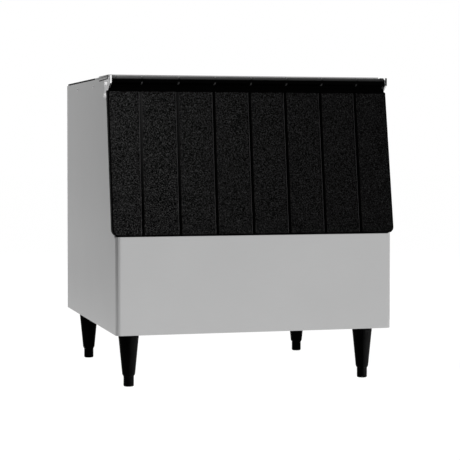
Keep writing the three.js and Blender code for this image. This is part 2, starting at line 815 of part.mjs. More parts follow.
// A cap head on its washer.
function capHead() {
  const head = washerHeight + capHeadHeight;
  return [
    [washerRadius, 0],
    [washerRadius, washerHeight],
    [capHeadRadius, washerHeight],
    [capHeadRadius, head - washerHeight / 2],
    [capHeadRadius - washerHeight / 2, head],
    [0, head],
  ];
}

// A low domed head.
function rivetHead() {
  return [
    [rivetHeadRadius, 0],
    [rivetHeadRadius * Math.cos(Math.PI / 6), rivetHeadHeight / 2],
    [rivetHeadRadius / 2, rivetHeadHeight],
    [0, rivetHeadHeight],
  ];
}

// Drain
function drainFitting() {
  const rim = sumpZ + seatGap;
  const foot = baseZ - drainReach;
  return turned([
    [drainBore, foot],
    [drainTube, foot],
    [drainTube, rim],
    [drainFlangeRadius, rim],
    [drainFlangeRadius, rim + drainFlange / 2],
    [drainFlangeRadius - drainFlange / 2, rim + drainFlange],
    [drainBore, rim + drainFlange],
    [drainBore, foot],
  ]);
}

function locknut() {
  const head = baseZ - seatGap;
  const foot = head - locknutHeight;
  const nut = turned([[0, foot], [locknutRadius, foot], [locknutRadius, head], [0, head]], hexSides);
  return cut(nut, rod(drainTube + boreGap, foot - overrun, head + overrun));
}

// Legs
const legPlaces = [
  { name: 'front_left', x: -halfWidth + legInsetSide, y: frontY + legInsetFront },
  { name: 'front_right', x: halfWidth - legInsetSide, y: frontY + legInsetFront },
  { name: 'rear_left', x: -halfWidth + legInsetSide, y: backY - legInsetBack },
  { name: 'rear_right', x: halfWidth - legInsetSide, y: backY - legInsetBack },
];

function legSleeve() {
  const foot = footHeight + seatGap;
  const head = baseZ - seatGap;
  const bore = stemRadius + stemBoreGap;
  const boreHead = footHeight + stemLength + footTravel;
  return turned([
    [bore, foot],
    [legBottomRadius - legToeStep, foot],
    [legBottomRadius, foot + legToe],
    [legTopRadius, head - legCollar],
    [legTopRadius, head - legLip],
    [legTopRadius - legLip, head],
    [studRadius, head],
    [studRadius, head + studLength],
    [0, head + studLength],
    [0, boreHead],
    [bore, boreHead],
    [bore, foot],
  ]);
}

function adjustableFoot() {
  const roundMiddle = footRound * (1 - Math.SQRT1_2); // halfway round the lower edge
  return turned([
    [0, 0],
    [footRadius - footRound, 0],
    [footRadius - roundMiddle, roundMiddle],
    [footRadius, footRound],
    [footRadius, footHeight - footChamfer],
    [footRadius - footChamfer, footHeight],
    [stemRadius, footHeight],
    [stemRadius, footHeight + stemLength],
    [0, footHeight + stemLength],
  ]);
}

// Plate inside the cabinet that a leg's stud screws into, with its nut welded on.
function legNutPlate() {
  const half = nutPlateSize / 2;
  const foot = baseZ + sheet + seatGap;
  const head = foot + nutPlate + nutHeight;
  const plate = block([-half, half], [-half, half], [foot, foot + nutPlate]);
  const nut = turned([[0, foot], [nutRadius, foot], [nutRadius, head], [0, head]], hexSides);
  return cut(plate.add(nut), rod(studRadius + boreGap, foot - overrun, head + overrun));
}

// Assembly
function cabinet() {
  const group = new THREE.Group();
  group.add(
    piece('left_side_panel', sidePanel(-1), brushedSteel),
    piece('right_side_panel', sidePanel(1), brushedSteel),
    piece('lower_front_panel', lowerFrontPanel(), brushedSteel),
    piece('back_panel', backPanel(), galvanised),
    piece('base_pan', basePan(), galvanised),
    piece('insulation_foam', insulationFoam(), foam),
    piece('ice_liner', liner(), whiteMoulding),
    piece('throat_frame', throatFrame(), whiteMoulding),
    piece('throat_seal', throatSeal(), blackRubber),
    piece('top_cover', topCover(), brushedSteel),
    piece('top_seal', topSeal(), blackRubber),
    piece('drain_fitting', drainFitting(), blackMoulding, [0, drainY, 0]),
    piece('drain_locknut', locknut(), blackMoulding, [0, drainY, 0]),
  );
  return group;
}

function hinges() {
  const group = new THREE.Group();
  const bracketFace = halfWidth + 2 * seatGap + bracketPlate;
  const sideFace = halfWidth + seatGap;
  for (const [hand, side] of [['left', -1], ['right', 1]]) {
    group.add(
      piece(`${hand}_hinge_bracket`, hingeBracket(side), polishedSteel),
      piece(`${hand}_hinge_pin`, hingePin(side), polishedSteel),
    );
    for (const { name, y, z, radius } of sideFixings()) {
      const isScrew = name.endsWith('screw');
      const face = isScrew ? bracketFace : sideFace;
      const solid = sideFastener(side, face, radius, isScrew ? capHead() : rivetHead());
      group.add(piece(`${hand}_${name}`, solid, polishedSteel, [0, y, z]));
    }
  }
  return group;
}

function legs() {
  const group = new THREE.Group();
  for (const { name, x, y } of legPlaces) {
    const leg = new THREE.Group();
    leg.position.set(x, y, 0);
    leg.add(
      piece(`${name}_nut_plate`, legNutPlate(), galvanised),
      piece(`${name}_leg_sleeve`, legSleeve(), blackMoulding),
      piece(`${name}_foot`, adjustableFoot(), blackMoulding),
    );
    group.add(leg);
  }
  return group;
}

function door() {
  const group = new THREE.Group();
  group.add(
    piece('door_shell', doorShell(), blackMoulding),
    piece('door_inner_panel', doorInnerPanel(), blackMoulding),
    piece('door_foam', doorFoam(), foam),
    piece('left_hinge_bush', hingeBush(-1), whiteMoulding),
    piece('right_hinge_bush', hingeBush(1), whiteMoulding),
  );
  return group;
}

const bin = new THREE.Group();
bin.name = 'ice_storage_bin';
bin.add(cabinet(), hinges(), legs(), door());

export default bin;
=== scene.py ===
# Dresses the packed ice storage bin: modelled shells, fasteners and legs, their finishes, the light
# and the camera
import json
import math

import bmesh
import bpy
from mathutils import Matrix, Vector


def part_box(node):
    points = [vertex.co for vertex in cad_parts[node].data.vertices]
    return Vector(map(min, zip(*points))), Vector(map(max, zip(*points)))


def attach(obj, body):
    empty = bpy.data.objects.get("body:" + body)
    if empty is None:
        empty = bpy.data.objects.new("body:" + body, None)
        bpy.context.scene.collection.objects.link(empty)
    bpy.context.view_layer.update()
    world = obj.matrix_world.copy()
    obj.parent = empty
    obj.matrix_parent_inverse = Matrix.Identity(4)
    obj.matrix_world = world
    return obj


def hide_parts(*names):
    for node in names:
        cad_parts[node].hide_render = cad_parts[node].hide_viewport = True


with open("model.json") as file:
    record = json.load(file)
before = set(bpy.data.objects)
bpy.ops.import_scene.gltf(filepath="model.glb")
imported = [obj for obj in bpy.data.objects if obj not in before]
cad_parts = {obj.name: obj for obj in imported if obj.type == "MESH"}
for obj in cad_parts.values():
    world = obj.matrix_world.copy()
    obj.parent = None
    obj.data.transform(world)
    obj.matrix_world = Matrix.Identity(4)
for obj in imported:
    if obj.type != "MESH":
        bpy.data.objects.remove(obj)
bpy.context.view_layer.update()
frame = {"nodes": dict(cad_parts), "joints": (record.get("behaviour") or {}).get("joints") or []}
print("frame loaded:", len(frame["nodes"]), "nodes")

mm = 0.001
sides = {"left": -1, "right": 1}
legNames = [f"{end}_{hand}" for end in ("front", "rear") for hand in ("left", "right")]

# Places that several pieces share, from the frame
cabinet = {
    "halfWidth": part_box("lower_front_panel")[1].x,
    "frontY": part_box("lower_front_panel")[0].y,
    "ledgeZ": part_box("lower_front_panel")[1].z,
    "slope": math.radians(10.34),  # of the door and the opening behind it
    "ledgeLift": 3.6 * mm,  # the photo's ledge stands this much over the frame's
}
hingeJoint = next(joint for joint in frame["joints"] if joint["name"] == "door_hinge")
hingeY, hingeZ = hingeJoint["pos_m"][1:]


# Node building
def addNode(tree, kind, **settings):
    node = tree.nodes.new(kind)
    for key, value in settings.items():
        setattr(node, key, value)
    return node


def join(tree, output, target):
    tree.links.new(output, target)


def setSocket(tree, socket, value):
    # Sets an input to a number, or links it where the value is another node's socket
    if isinstance(value, bpy.types.NodeSocket):
        join(tree, value, socket)
    else:
        socket.default_value = value


def feed(tree, node, **values):
    for key, value in values.items():
        setSocket(tree, node.inputs[key.replace("_", " ")], value)
    return node


def newGroup(name, inputs, outputs):
    group = bpy.data.node_groups.new(name, "ShaderNodeTree")
    for label, value in inputs.items():
        kind = "NodeSocketVector" if isinstance(value, tuple) else "NodeSocketFloat"
        socket = group.interface.new_socket(name=label, in_out="INPUT", socket_type=kind)
        socket.default_value = value
    for label in outputs:
        group.interface.new_socket(name=label, in_out="OUTPUT", socket_type="NodeSocketFloat")
    return group, group.nodes.new("NodeGroupInput"), group.nodes.new("NodeGroupOutput")


def mathNode(tree, operation, first, second):
    node = addNode(tree, "ShaderNodeMath", operation=operation)
    setSocket(tree, node.inputs[0], first)
    setSocket(tree, node.inputs[1], second)
    return node.outputs[0]


def rangeNode(tree, value, low, high, toLow=0.0, toHigh=1.0):
    node = addNode(tree, "ShaderNodeMapRange")
    feed(tree, node, Value=value, From_Min=low, From_Max=high, To_Min=toLow, To_Max=toHigh)
    return node.outputs[0]


def partsOf(tree, vector):
    # The X, Y and Z of a vector
    node = addNode(tree, "ShaderNodeSeparateXYZ")
    join(tree, vector, node.inputs[0])
    return node.outputs


def objectPoint(tree, scale=(1.0, 1.0, 1.0)):
    # Object coordinates in metres, stretched
    mapping = addNode(tree, "ShaderNodeMapping")
    feed(tree, mapping, Vector=addNode(tree, "ShaderNodeTexCoord").outputs["Object"], Scale=scale)
    return mapping.outputs[0]


def noiseNode(tree, point, scale, detail=2.0, roughness=0.5):
    node = addNode(tree, "ShaderNodeTexNoise")
    feed(tree, node, Vector=point, Scale=scale, Detail=detail, Roughness=roughness)
    return node.outputs["Fac"]


# Shared effects
def buildGrain():
    # Fine lines along the axis in which Stretch is smallest, broken up by a wider drift
    group, source, sink = newGroup("brushedGrain", {"Stretch": (1.0, 1.0, 1.0)}, ("Lines", "Drift"))
    point = objectPoint(group, source.outputs["Stretch"])
    join(group, noiseNode(group, point, 1.0, detail=3.0, roughness=0.7), sink.inputs["Lines"])
    join(group, noiseNode(group, objectPoint(group), 6.0), sink.inputs["Drift"])
    return group


# Grains of a textured mould; the scales are shares of the group's own
grainShape = {
    "smoothness": 0.6,
    "reach": 0.6,  # of a dome, in cells
    "softScale": 0.8,
    "softLift": 0.4,
    "topScale": 1.6,
    "topRange": (0.3, 0.72),
    "topPower": 2.6,
}


def buildPebble():
    # Rounded grains, as a height and as a painted highlight on each grain's top
    group, source, sink = newGroup("pebbleGrain", {"Scale": 300.0, "Variation": 0.5}, ("Height", "Top"))
    point = objectPoint(group)
    scale = source.outputs["Scale"]
    cells = addNode(group, "ShaderNodeTexVoronoi", feature="SMOOTH_F1")
    feed(group, cells, Vector=point, Scale=scale, Smoothness=grainShape["smoothness"])
    dome = rangeNode(group, cells.outputs["Distance"], 0.0, grainShape["reach"], toLow=1.0, toHigh=0.0)
    softScale = mathNode(group, "MULTIPLY", scale, grainShape["softScale"])
    soft = noiseNode(group, point, softScale, detail=1.0)
    height = mathNode(group, "MULTIPLY", dome, mathNode(group, "ADD", soft, grainShape["softLift"]))
    topScale = mathNode(group, "MULTIPLY", scale, grainShape["topScale"])
    uneven = rangeNode(group, noiseNode(group, point, topScale, 0.0, 0.6), *grainShape["topRange"])
    top = mathNode(group, "POWER", uneven, grainShape["topPower"])
    blend = addNode(group, "ShaderNodeMix", data_type="FLOAT")
    join(group, source.outputs["Variation"], blend.inputs[0])
    join(group, height, blend.inputs[2])
    join(group, top, blend.inputs[3])
    join(group, height, sink.inputs["Height"])
    join(group, blend.outputs[0], sink.inputs["Top"])
    return group


def buildWear():
    # Where an edge is rubbed: the difference between the true normal and one rounded over a radius
    group, source, sink = newGroup("edgeWear", {"Radius": 0.0015, "Patches": 60.0}, ("Mask",))
    bevel = addNode(group, "ShaderNodeBevel", samples=4)
    join(group, source.outputs["Radius"], bevel.inputs["Radius"])
    dot = addNode(group, "ShaderNodeVectorMath", operation="DOT_PRODUCT")
    join(group, bevel.outputs[0], dot.inputs[0])
    join(group, addNode(group, "ShaderNodeNewGeometry").outputs["Normal"], dot.inputs[1])
    edge = rangeNode(group, dot.outputs["Value"], 0.98, 0.8)
    drift = noiseNode(group, objectPoint(group), source.outputs["Patches"], detail=3.0)
    patches = rangeNode(group, drift, 0.4, 0.6, toLow=0.25)
    join(group, mathNode(group, "MULTIPLY", edge, patches), sink.inputs["Mask"])
    return group


def buildDust():
    # Thin dust on what faces up, uneven
    group, source, sink = newGroup("dust", {"Amount": 0.1, "Scale": 40.0}, ("Mask",))
    facing = partsOf(group, addNode(group, "ShaderNodeNewGeometry").outputs["Normal"])
    upward = rangeNode(group, facing["Z"], 0.3, 1.0)
    drift = noiseNode(group, objectPoint(group), source.outputs["Scale"], detail=4.0, roughness=0.6)
    both = mathNode(group, "MULTIPLY", upward, rangeNode(group, drift, 0.35, 0.75))
    join(group, mathNode(group, "MULTIPLY", both, source.outputs["Amount"]), sink.inputs["Mask"])
    return group


def buildCreviceShade():
    # Painted shade: 1 where the surface is open, falling where another part stands close to it
    group, source, sink = newGroup("creviceShade", {"Reach": 0.02, "Softness": 1.0}, ("Open",))
    occlusion = addNode(group, "ShaderNodeAmbientOcclusion", samples=6)
    join(group, source.outputs["Reach"], occlusion.inputs["Distance"])
    shade = mathNode(group, "POWER", occlusion.outputs["AO"], source.outputs["Softness"])
    join(group, shade, sink.inputs["Open"])
    return group


grainGroup = buildGrain()
creviceShadeGroup = buildCreviceShade()
pebbleGroup = buildPebble()
wearGroup = buildWear()
dustGroup = buildDust()


# Materials
class Finish:
    # A material with its Principled shader, and the steps that build it up
    def __init__(self, name, slot, colour, **sockets):
        self.material = bpy.data.materials.new(name)
        self.material.use_nodes = True
        self.material.diffuse_color = (*colour, 1.0)
        self.slot = slot
        self.tree = self.material.node_tree
        self.shader = feed(self.tree, self.tree.nodes["Principled BSDF"], **sockets)
        self.colour = addNode(self.tree, "ShaderNodeRGB").outputs[0]
        self.colour.default_value = (*colour, 1.0)
        self.height = None

    def effect(self, group, **values):
        node = addNode(self.tree, "ShaderNodeGroup", node_tree=group)
        return feed(self.tree, node, **values).outputs

    def noise(self, scale, detail=2.0, stretch=(1.0, 1.0, 1.0)):
        return noiseNode(self.tree, objectPoint(self.tree, stretch), scale, detail)

    def tint(self, mask, colour, most=1.0):
        # Mixes towards a colour where the mask is high
        mix = addNode(self.tree, "ShaderNodeMix", data_type="RGBA")
        join(self.tree, mathNode(self.tree, "MULTIPLY", mask, most), mix.inputs[0])
        join(self.tree, self.colour, mix.inputs[6])
        mix.inputs[7].default_value = (*colour, 1.0)
        self.colour = mix.outputs[2]

    def vary(self, mask, low, high):
        # Multiplies the colour by low to high as the mask goes from 0 to 1
        node = addNode(self.tree, "ShaderNodeHueSaturation")
        value = rangeNode(self.tree, mask, 0.0, 1.0, low, high)
        self.colour = feed(self.tree, node, Value=value, Color=self.colour).outputs[0]

    def rough(self, mask, low, high):
        feed(self.tree, self.shader, Roughness=rangeNode(self.tree, mask, 0.0, 1.0, low, high))

    def bump(self, mask, distance, strength):
        node = addNode(self.tree, "ShaderNodeBump")
        feed(self.tree, node, Strength=strength, Distance=distance, Height=mask)
        self.height = node.outputs[0]

    def done(self):
        feed(self.tree, self.shader, Base_Color=self.colour)
        if self.height is not None:
            feed(self.tree, self.shader, Normal=self.height)
        return self


steel = {
    "brushed": (0.462, 0.463, 0.464),
    "worn": (0.56, 0.56, 0.565),
    "dust": (0.42, 0.415, 0.405),
    "roughness": (0.3, 0.42),
    "acrossLines": 2600.0,
    "alongLines": 22.0,
    "polishedWear": (0.85, 0.85, 0.86),
    "galvanised": (0.33, 0.34, 0.35),
    "galvanisedRoughness": (0.32, 0.6),
    "spangle": 110.0,  # crystals in a metre
}


def brushedFinish(name, along):
    # along is the axis in which the sheet was brushed
    finish = Finish(name, "brushed_steel", steel["brushed"], Metallic=1.0)
    stretch = tuple(steel["alongLines"] if axis == along else steel["acrossLines"] for axis in "xyz")
    grain = finish.effect(grainGroup, Stretch=stretch)
    finish.vary(grain["Lines"], 0.94, 1.06)
    finish.vary(grain["Drift"], 0.97, 1.03)
    finish.tint(finish.effect(wearGroup, Radius=0.0008)["Mask"], steel["worn"], most=0.4)
    finish.tint(finish.effect(dustGroup, Amount=0.25)["Mask"], steel["dust"])
    # Painted shade: the steel darkens where another part stands close to it
    finish.vary(finish.effect(creviceShadeGroup, Reach=0.03, Softness=1.3)["Open"], 0.45, 1.0)
    finish.rough(grain["Lines"], *steel["roughness"])
    finish.bump(grain["Lines"], distance=0.00002, strength=0.4)
    return finish.done()


def galvanisedFinish():
    finish = Finish("galvanisedSteel", "galvanised_steel", steel["galvanised"], Metallic=0.9)
    spangle = addNode(finish.tree, "ShaderNodeTexVoronoi")
    feed(finish.tree, spangle, Vector=objectPoint(finish.tree), Scale=steel["spangle"], Randomness=0.9)
    parts = addNode(finish.tree, "ShaderNodeSeparateColor")
    join(finish.tree, spangle.outputs["Color"], parts.inputs[0])
    finish.vary(parts.outputs[0], 0.88, 1.1)
    finish.rough(parts.outputs[1], *steel["galvanisedRoughness"])
    finish.tint(finish.effect(dustGroup, Amount=0.3)["Mask"], steel["dust"])
    finish.bump(finish.noise(500.0), distance=0.00005, strength=0.3)
    return finish.done()


def polishedFinish(name, colour, low, high, metal=1.0):
    finish = Finish(name, "polished_steel", colour, Metallic=metal)
    grain = finish.effect(grainGroup, Stretch=(1800.0, 60.0, 1800.0))
    finish.vary(grain["Drift"], 0.95, 1.05)
    finish.tint(finish.effect(wearGroup, Radius=0.0006)["Mask"], steel["polishedWear"], most=0.6)
    finish.rough(grain["Lines"], low, high)
    return finish.done()


moulding = {
    "pebble": 235.0,  # grains in a metre
    "pebbleDepth": 0.0008,
    "black": (0.00015, 0.00015, 0.00015),
    "specular": 0.01,
    # grainHighlight: a painted highlight on the tops of the pebble grains
    "grainHighlight": (0.0258, 0.0258, 0.0258),
    # Below, the tones of the groove rims, the bead's top and the ribs are painted highlights
    "grooveRimHighlight": (0.15, 0.15, 0.15),
    "grooveUpperLeftTone": (0.007, 0.007, 0.007),
    "beadTopHighlight": (0.07, 0.07, 0.07),
    "ribTopHighlight": (0.2, 0.2, 0.2),
    "ribFootHighlight": (0.03, 0.03, 0.03),
}
# Painted highlights, where each part's faces point one way: an axis of its normal, where that starts
# and is full, and a tone
paintedHighlights = {
    "groove": [("X", 0.02, 0.3, "grooveRimHighlight")],
    "bead": [("Z", 0.15, 0.95, "beadTopHighlight")],
    "rib": [("Z", 0.15, 0.95, "beadTopHighlight"), ("Z", 0.6, 0.85, "ribTopHighlight"), ("Z", -0.35, -0.6, "ribFootHighlight")],
}


def pebbledFinish():
    finish = Finish("pebbledMoulding", "black_moulding", moulding["black"],
                    Specular_IOR_Level=moulding["specular"])
    pebble = finish.effect(pebbleGroup, Scale=moulding["pebble"], Variation=0.65)
    # Painted highlight: the tops of the grains are lighter
    finish.tint(pebble["Top"], moulding["grainHighlight"])
    finish.rough(pebble["Height"], 0.6, 0.4)
    finish.bump(pebble["Height"], moulding["pebbleDepth"], strength=0.8)
    return finish.done()


def smoothMouldingFinish(name, part=None):
    finish = Finish(name, "black_moulding", moulding["black"], Specular_IOR_Level=moulding["specular"])
    flow = finish.noise(1.0, detail=3.0, stretch=(8.0, 40.0, 40.0))
    finish.vary(flow, 0.7, 1.4)
    if part == "groove":
        # Grooves lighter towards the door's head and its left end, fading down the door and to the
        # right
        point = partsOf(finish.tree, objectPoint(finish.tree))
        leftward = rangeNode(finish.tree, point["X"], -0.1, -0.28)
        upward = rangeNode(finish.tree, point["Z"], 0.5, 0.75)
        finish.tint(mathNode(finish.tree, "MULTIPLY", leftward, upward), moulding["grooveUpperLeftTone"])
    facing = partsOf(finish.tree, addNode(finish.tree, "ShaderNodeTexCoord").outputs["Normal"])
    # Painted highlights by which way the faces point
    for axis, start, full, tone in paintedHighlights.get(part, []):
        finish.tint(rangeNode(finish.tree, facing[axis], start, full), moulding[tone])
    finish.rough(flow, 0.45, 0.6)
    finish.bump(finish.noise(1500.0), distance=0.00003, strength=0.5)
    return finish.done()


plastic = {
    "black": (0.0006, 0.0006, 0.0006),
    "specular": 0.006,
    # worn: lighter edges from wear, and on the legs' rings a painted highlight
    "worn": (0.03, 0.03, 0.03),
    "dust": (0.01, 0.01, 0.0095),
    "roughness": (0.36, 0.52),
}


def blackPlasticFinish():
    finish = Finish("blackPlastic", "black_plastic", plastic["black"],
                    Specular_IOR_Level=plastic["specular"])
    flow = finish.noise(1.0, detail=3.0, stretch=(30.0, 30.0, 8.0))
    finish.vary(flow, 0.75, 1.3)
    # Lighter rounded edges: wear, and on the legs' toe and collar rings a painted highlight
    finish.tint(finish.effect(wearGroup, Radius=0.0012)["Mask"], plastic["worn"], most=0.4)
    finish.tint(finish.effect(dustGroup, Amount=0.1)["Mask"], plastic["dust"])
    finish.rough(flow, *plastic["roughness"])
    finish.bump(finish.noise(1200.0), distance=0.00004, strength=0.5)
    return finish.done()


rubber = {"black": (0.006, 0.006, 0.0062), "specular": 0.15, "pores": 700.0}


def rubberFinish():
    finish = Finish("blackRubber", "black_rubber", rubber["black"],
                    Specular_IOR_Level=rubber["specular"])
    pores = finish.effect(pebbleGroup, Scale=rubber["pores"], Variation=0.3)
    # Painted highlight and shade: pores lighter on top and darker between
    finish.vary(pores["Top"], 0.6, 1.5)
    finish.rough(pores["Height"], 0.9, 0.7)
    finish.bump(pores["Height"], distance=0.0003, strength=0.6)
    return finish.done()


liner = {"white": (0.70, 0.71, 0.70), "dust": (0.5, 0.5, 0.48), "roughness": (0.24, 0.4)}


def whiteMouldingFinish():
    finish = Finish("whiteMoulding", "white_moulding", liner["white"], IOR=1.5)
    ripple = finish.noise(14.0, detail=3.0)
    finish.vary(ripple, 0.96, 1.03)
    finish.tint(finish.effect(dustGroup, Amount=0.12)["Mask"], liner["dust"])
    finish.rough(ripple, *liner["roughness"])
    finish.bump(finish.noise(90.0), distance=0.0004, strength=0.15)
    return finish.done()


def nylonFinish():
    finish = Finish("nylon", "nylon", (0.62, 0.62, 0.57), Subsurface_Weight=0.15)
    cloud = finish.noise(150.0)
    finish.vary(cloud, 0.92, 1.04)
    finish.rough(cloud, 0.34, 0.48)
    return finish.done()


foam = {"yellow": (0.62, 0.55, 0.3), "cells": 420.0, "cellDepth": 0.0008}


def foamFinish():
    finish = Finish("insulatingFoam", "insulating_foam", foam["yellow"])
    cells = finish.effect(pebbleGroup, Scale=foam["cells"], Variation=0.5)
    # Painted highlight and shade: cells lighter on top and darker between
    finish.vary(cells["Top"], 0.7, 1.15)
    finish.rough(cells["Height"], 0.95, 0.85)
    finish.bump(cells["Height"], foam["cellDepth"], strength=0.8)
    return finish.done()


finishes = {
    "brushedUpright": brushedFinish("brushedSteelUpright", "z"),
    "brushedAcross": brushedFinish("brushedSteelAcross", "x"),
    "galvanised": galvanisedFinish(),
    "bracketSteel": polishedFinish("bracketSteel", (0.66, 0.66, 0.665), 0.26, 0.4),
    "brightSteel": polishedFinish("brightSteel", (0.82, 0.82, 0.83), 0.12, 0.24),
    "zincPlate": polishedFinish("zincPlate", (0.62, 0.62, 0.62), 0.34, 0.5, metal=0.6),
    # Dark steel for the right nose front: a painted reflection of the black door
    "paintedReflectionSteel": polishedFinish("paintedReflectionSteel", (0.06, 0.06, 0.06), 0.4, 0.55),
    "pebbled": pebbledFinish(),
    "smoothMoulding": smoothMouldingFinish("smoothMoulding"),
    "grooveMoulding": smoothMouldingFinish("grooveMoulding", "groove"),
    "beadMoulding": smoothMouldingFinish("beadMoulding", "bead"),
    "ribMoulding": smoothMouldingFinish("ribMoulding", "rib"),
    "blackPlastic": blackPlasticFinish(),
    "rubber": rubberFinish(),
    "whiteMoulding": whiteMouldingFinish(),
    "nylon": nylonFinish(),
    "foam": foamFinish(),
}
print("finishes built:", len(finishes))

# Mesh building
square = 40  # degrees between two faces, over which their edge is rounded on most pieces
turned = 25  # and on pieces spun from an outline
close = 0.01 * mm  # two places nearer than this are one


def sharpEdges(bm, degrees):
    least = math.radians(degrees)
    return [edge for edge in bm.edges if edge.is_manifold and edge.calc_face_angle(0.0) > least]


def levelEdges(bm, degrees):
    # The sharp edges that lie level, such as the rings of a spun piece
    edges = sharpEdges(bm, degrees)
    return [edge for edge in edges if abs(edge.verts[0].co.z - edge.verts[1].co.z) < close]


def verticesIn(geometry):
    return [item for item in geometry if isinstance(item, bmesh.types.BMVert)]


def rounded(bm, geometry, offset, segments=2, affect="EDGES", clamp=True):
    bmesh.ops.bevel(bm, geom=geometry, offset=offset, offset_type="OFFSET", segments=segments,
                    profile=0.5, affect=affect, material=-1, clamp_overlap=clamp)


def cleaned(bm):
    bmesh.ops.remove_doubles(bm, verts=bm.verts, dist=0.002 * mm)
    bmesh.ops.dissolve_degenerate(bm, edges=bm.edges, dist=0.001 * mm)
    bmesh.ops.recalc_face_normals(bm, faces=bm.faces)
    if bm.calc_volume(signed=True) < 0:
        bmesh.ops.reverse_faces(bm, faces=bm.faces)  # a thin sheet can come out turned inwards


def addPiece(bm, name, body, finish, nodes, smoothUnder=35, more=()):
    # Turns a bmesh into a finished piece; more holds the finishes of further material indices
    cleaned(bm)
    mesh = bpy.data.meshes.new(name)
    bm.to_mesh(mesh)
    bm.free()
    for key in (finish, *more):
        mesh.materials.append(finishes[key].material)
    mesh.shade_smooth()
    mesh.set_sharp_from_angle(angle=math.radians(smoothUnder))
    piece = bpy.data.objects.new(name, mesh)
    bpy.context.scene.collection.objects.link(piece)
    piece.modifiers.new("evenNormals", "WEIGHTED_NORMAL").keep_sharp = True
    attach(piece, body)
    if nodes:
        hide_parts(*nodes)


def spun(profile, steps=64):
    # A solid of revolution about Z from an outline of (radius, height)
    bm = bmesh.new()
    corners = [bm.verts.new((radius, 0.0, height)) for radius, height in profile]
    edges = [bm.edges.new(pair) for pair in zip(corners, corners[1:])]
    bmesh.ops.spin(bm, geom=corners + edges, cent=(0, 0, 0), axis=(0, 0, 1), angle=2 * math.pi,
                   steps=steps, use_merge=True)
    bmesh.ops.remove_doubles(bm, verts=bm.verts, dist=0.002 * mm)
    bmesh.ops.recalc_face_normals(bm, faces=bm.faces)
    return bm


def layAlongX(bm, side, place):
    # Turns a spun solid so that its height runs out from the cabinet on one side
    turn = Matrix.Rotation(math.radians(90 * side), 4, "Y")
    bmesh.ops.transform(bm, matrix=Matrix.Translation(place) @ turn, verts=bm.verts)


def faceAcross(bm, corners, width):
    # A solid of one cross-section, its corners given as (y, z), centred on x = 0
    face = bm.faces.new([bm.verts.new((-width / 2, y, z)) for y, z in corners])
    moved = bmesh.ops.extrude_face_region(bm, geom=[face])["geom"]
    bmesh.ops.translate(bm, vec=(width, 0, 0), verts=verticesIn(moved))


# Sheets and mouldings that keep the frame's own form: finish, body, and how far, in mm, their bends and
# their cut edges are rounded
sheetWork = {
    "left_side_panel": ("brushedUpright", "cabinet", 1.8, 0.25),
    "right_side_panel": ("brushedUpright", "cabinet", 1.8, 0.25),
    "lower_front_panel": ("brushedAcross", "cabinet", 2.2, 0.25),
    "back_panel": ("galvanised", "cabinet", 1.8, 0.25),
    "base_pan": ("galvanised", "cabinet", 1.8, 0.25),
    "top_cover": ("brushedAcross", "cabinet", 1.2, 0.25),
    "left_hinge_bracket": ("bracketSteel", "cabinet", 0.9, 0.25),
    "right_hinge_bracket": ("bracketSteel", "cabinet", 0.9, 0.25),
    "ice_liner": ("whiteMoulding", "cabinet", 1.5, 0.6),
    "throat_frame": ("whiteMoulding", "cabinet", 1.5, 0.6),
    "throat_seal": ("rubber", "cabinet", 1.8, 0.5),
    "top_seal": ("rubber", "cabinet", 1.2, 0.5),
    "door_inner_panel": ("smoothMoulding", "door", 1.5, 0.6),
    "door_foam": ("foam", "door", 0, 0),  # all sharp
}
# Heights from the frame's ledge: what stands over the first goes straight up with the ledge, and what
# stands under the others goes up along the slope with it
raisedOver = {"lower_front_panel": -10 * mm}
raisedUnder = {"door_inner_panel": 24 * mm, "door_foam": 24 * mm}
widened = {"door_inner_panel": 1.0026, "door_foam": 0.985}  # to the wider door's rim, and clear of it
# The front of a bracket's folded nose: a lighter finish on the left as a painted highlight, and a dark
# one on the right, beside the door, as a painted reflection of the black door
noseFrontPaintedLight = {"left_hinge_bracket": "zincPlate", "right_hinge_bracket": "paintedReflectionSteel"}
facesFront = -0.6  # the Y of a normal, under which a face is part of that front


def finishedCopy(node, finish, body, bend, edge):
    bm = bmesh.new()
    bm.from_mesh(frame["nodes"][node].data)
    bmesh.ops.remove_doubles(bm, verts=bm.verts, dist=close)
    bmesh.ops.dissolve_limit(bm, angle_limit=math.radians(0.8), verts=bm.verts, edges=bm.edges)
    bmesh.ops.scale(bm, vec=(widened.get(node, 1), 1, 1), verts=bm.verts)
    if node in raisedOver:
        least = cabinet["ledgeZ"] + raisedOver[node]
        over = [corner for corner in bm.verts if corner.co.z > least]
        bmesh.ops.translate(bm, vec=(0, 0, cabinet["ledgeLift"]), verts=over)
    if node in raisedUnder:
        most = cabinet["ledgeZ"] + raisedUnder[node]
        upSlope = Vector((0, math.tan(cabinet["slope"]), 1)) * cabinet["ledgeLift"]
        under = [corner for corner in bm.verts if corner.co.z < most]
        bmesh.ops.translate(bm, vec=upSlope, verts=under)
    wide = 2.5 * bend * mm

    def isBend(candidate):
        # A cut edge is short, or borders a face no wider than a sheet
        narrowest = min(face.calc_area() / candidate.calc_length() for face in candidate.link_faces)
        return narrowest > wide and candidate.calc_length() > wide

    if edge:
        bends = [candidate for candidate in sharpEdges(bm, square) if isBend(candidate)]
        rounded(bm, bends, bend * mm, 4)
        rounded(bm, sharpEdges(bm, square), edge * mm)
    more = ()
    # Painted light on the nose front: a highlight on the left, a reflection of the black door on the
    # right
    if node in noseFrontPaintedLight:
        bm.normal_update()
        for face in bm.faces:
            face.material_index = int(face.normal.y < facesFront)
        more = (noseFrontPaintedLight[node],)
    addPiece(bm, node + "_formed", body, finish, [node], more=more)


for node, (finish, body, bend, edge) in sheetWork.items():
    finishedCopy(node, finish, body, bend, edge)
print("sheets and mouldings formed:", len(sheetWork))

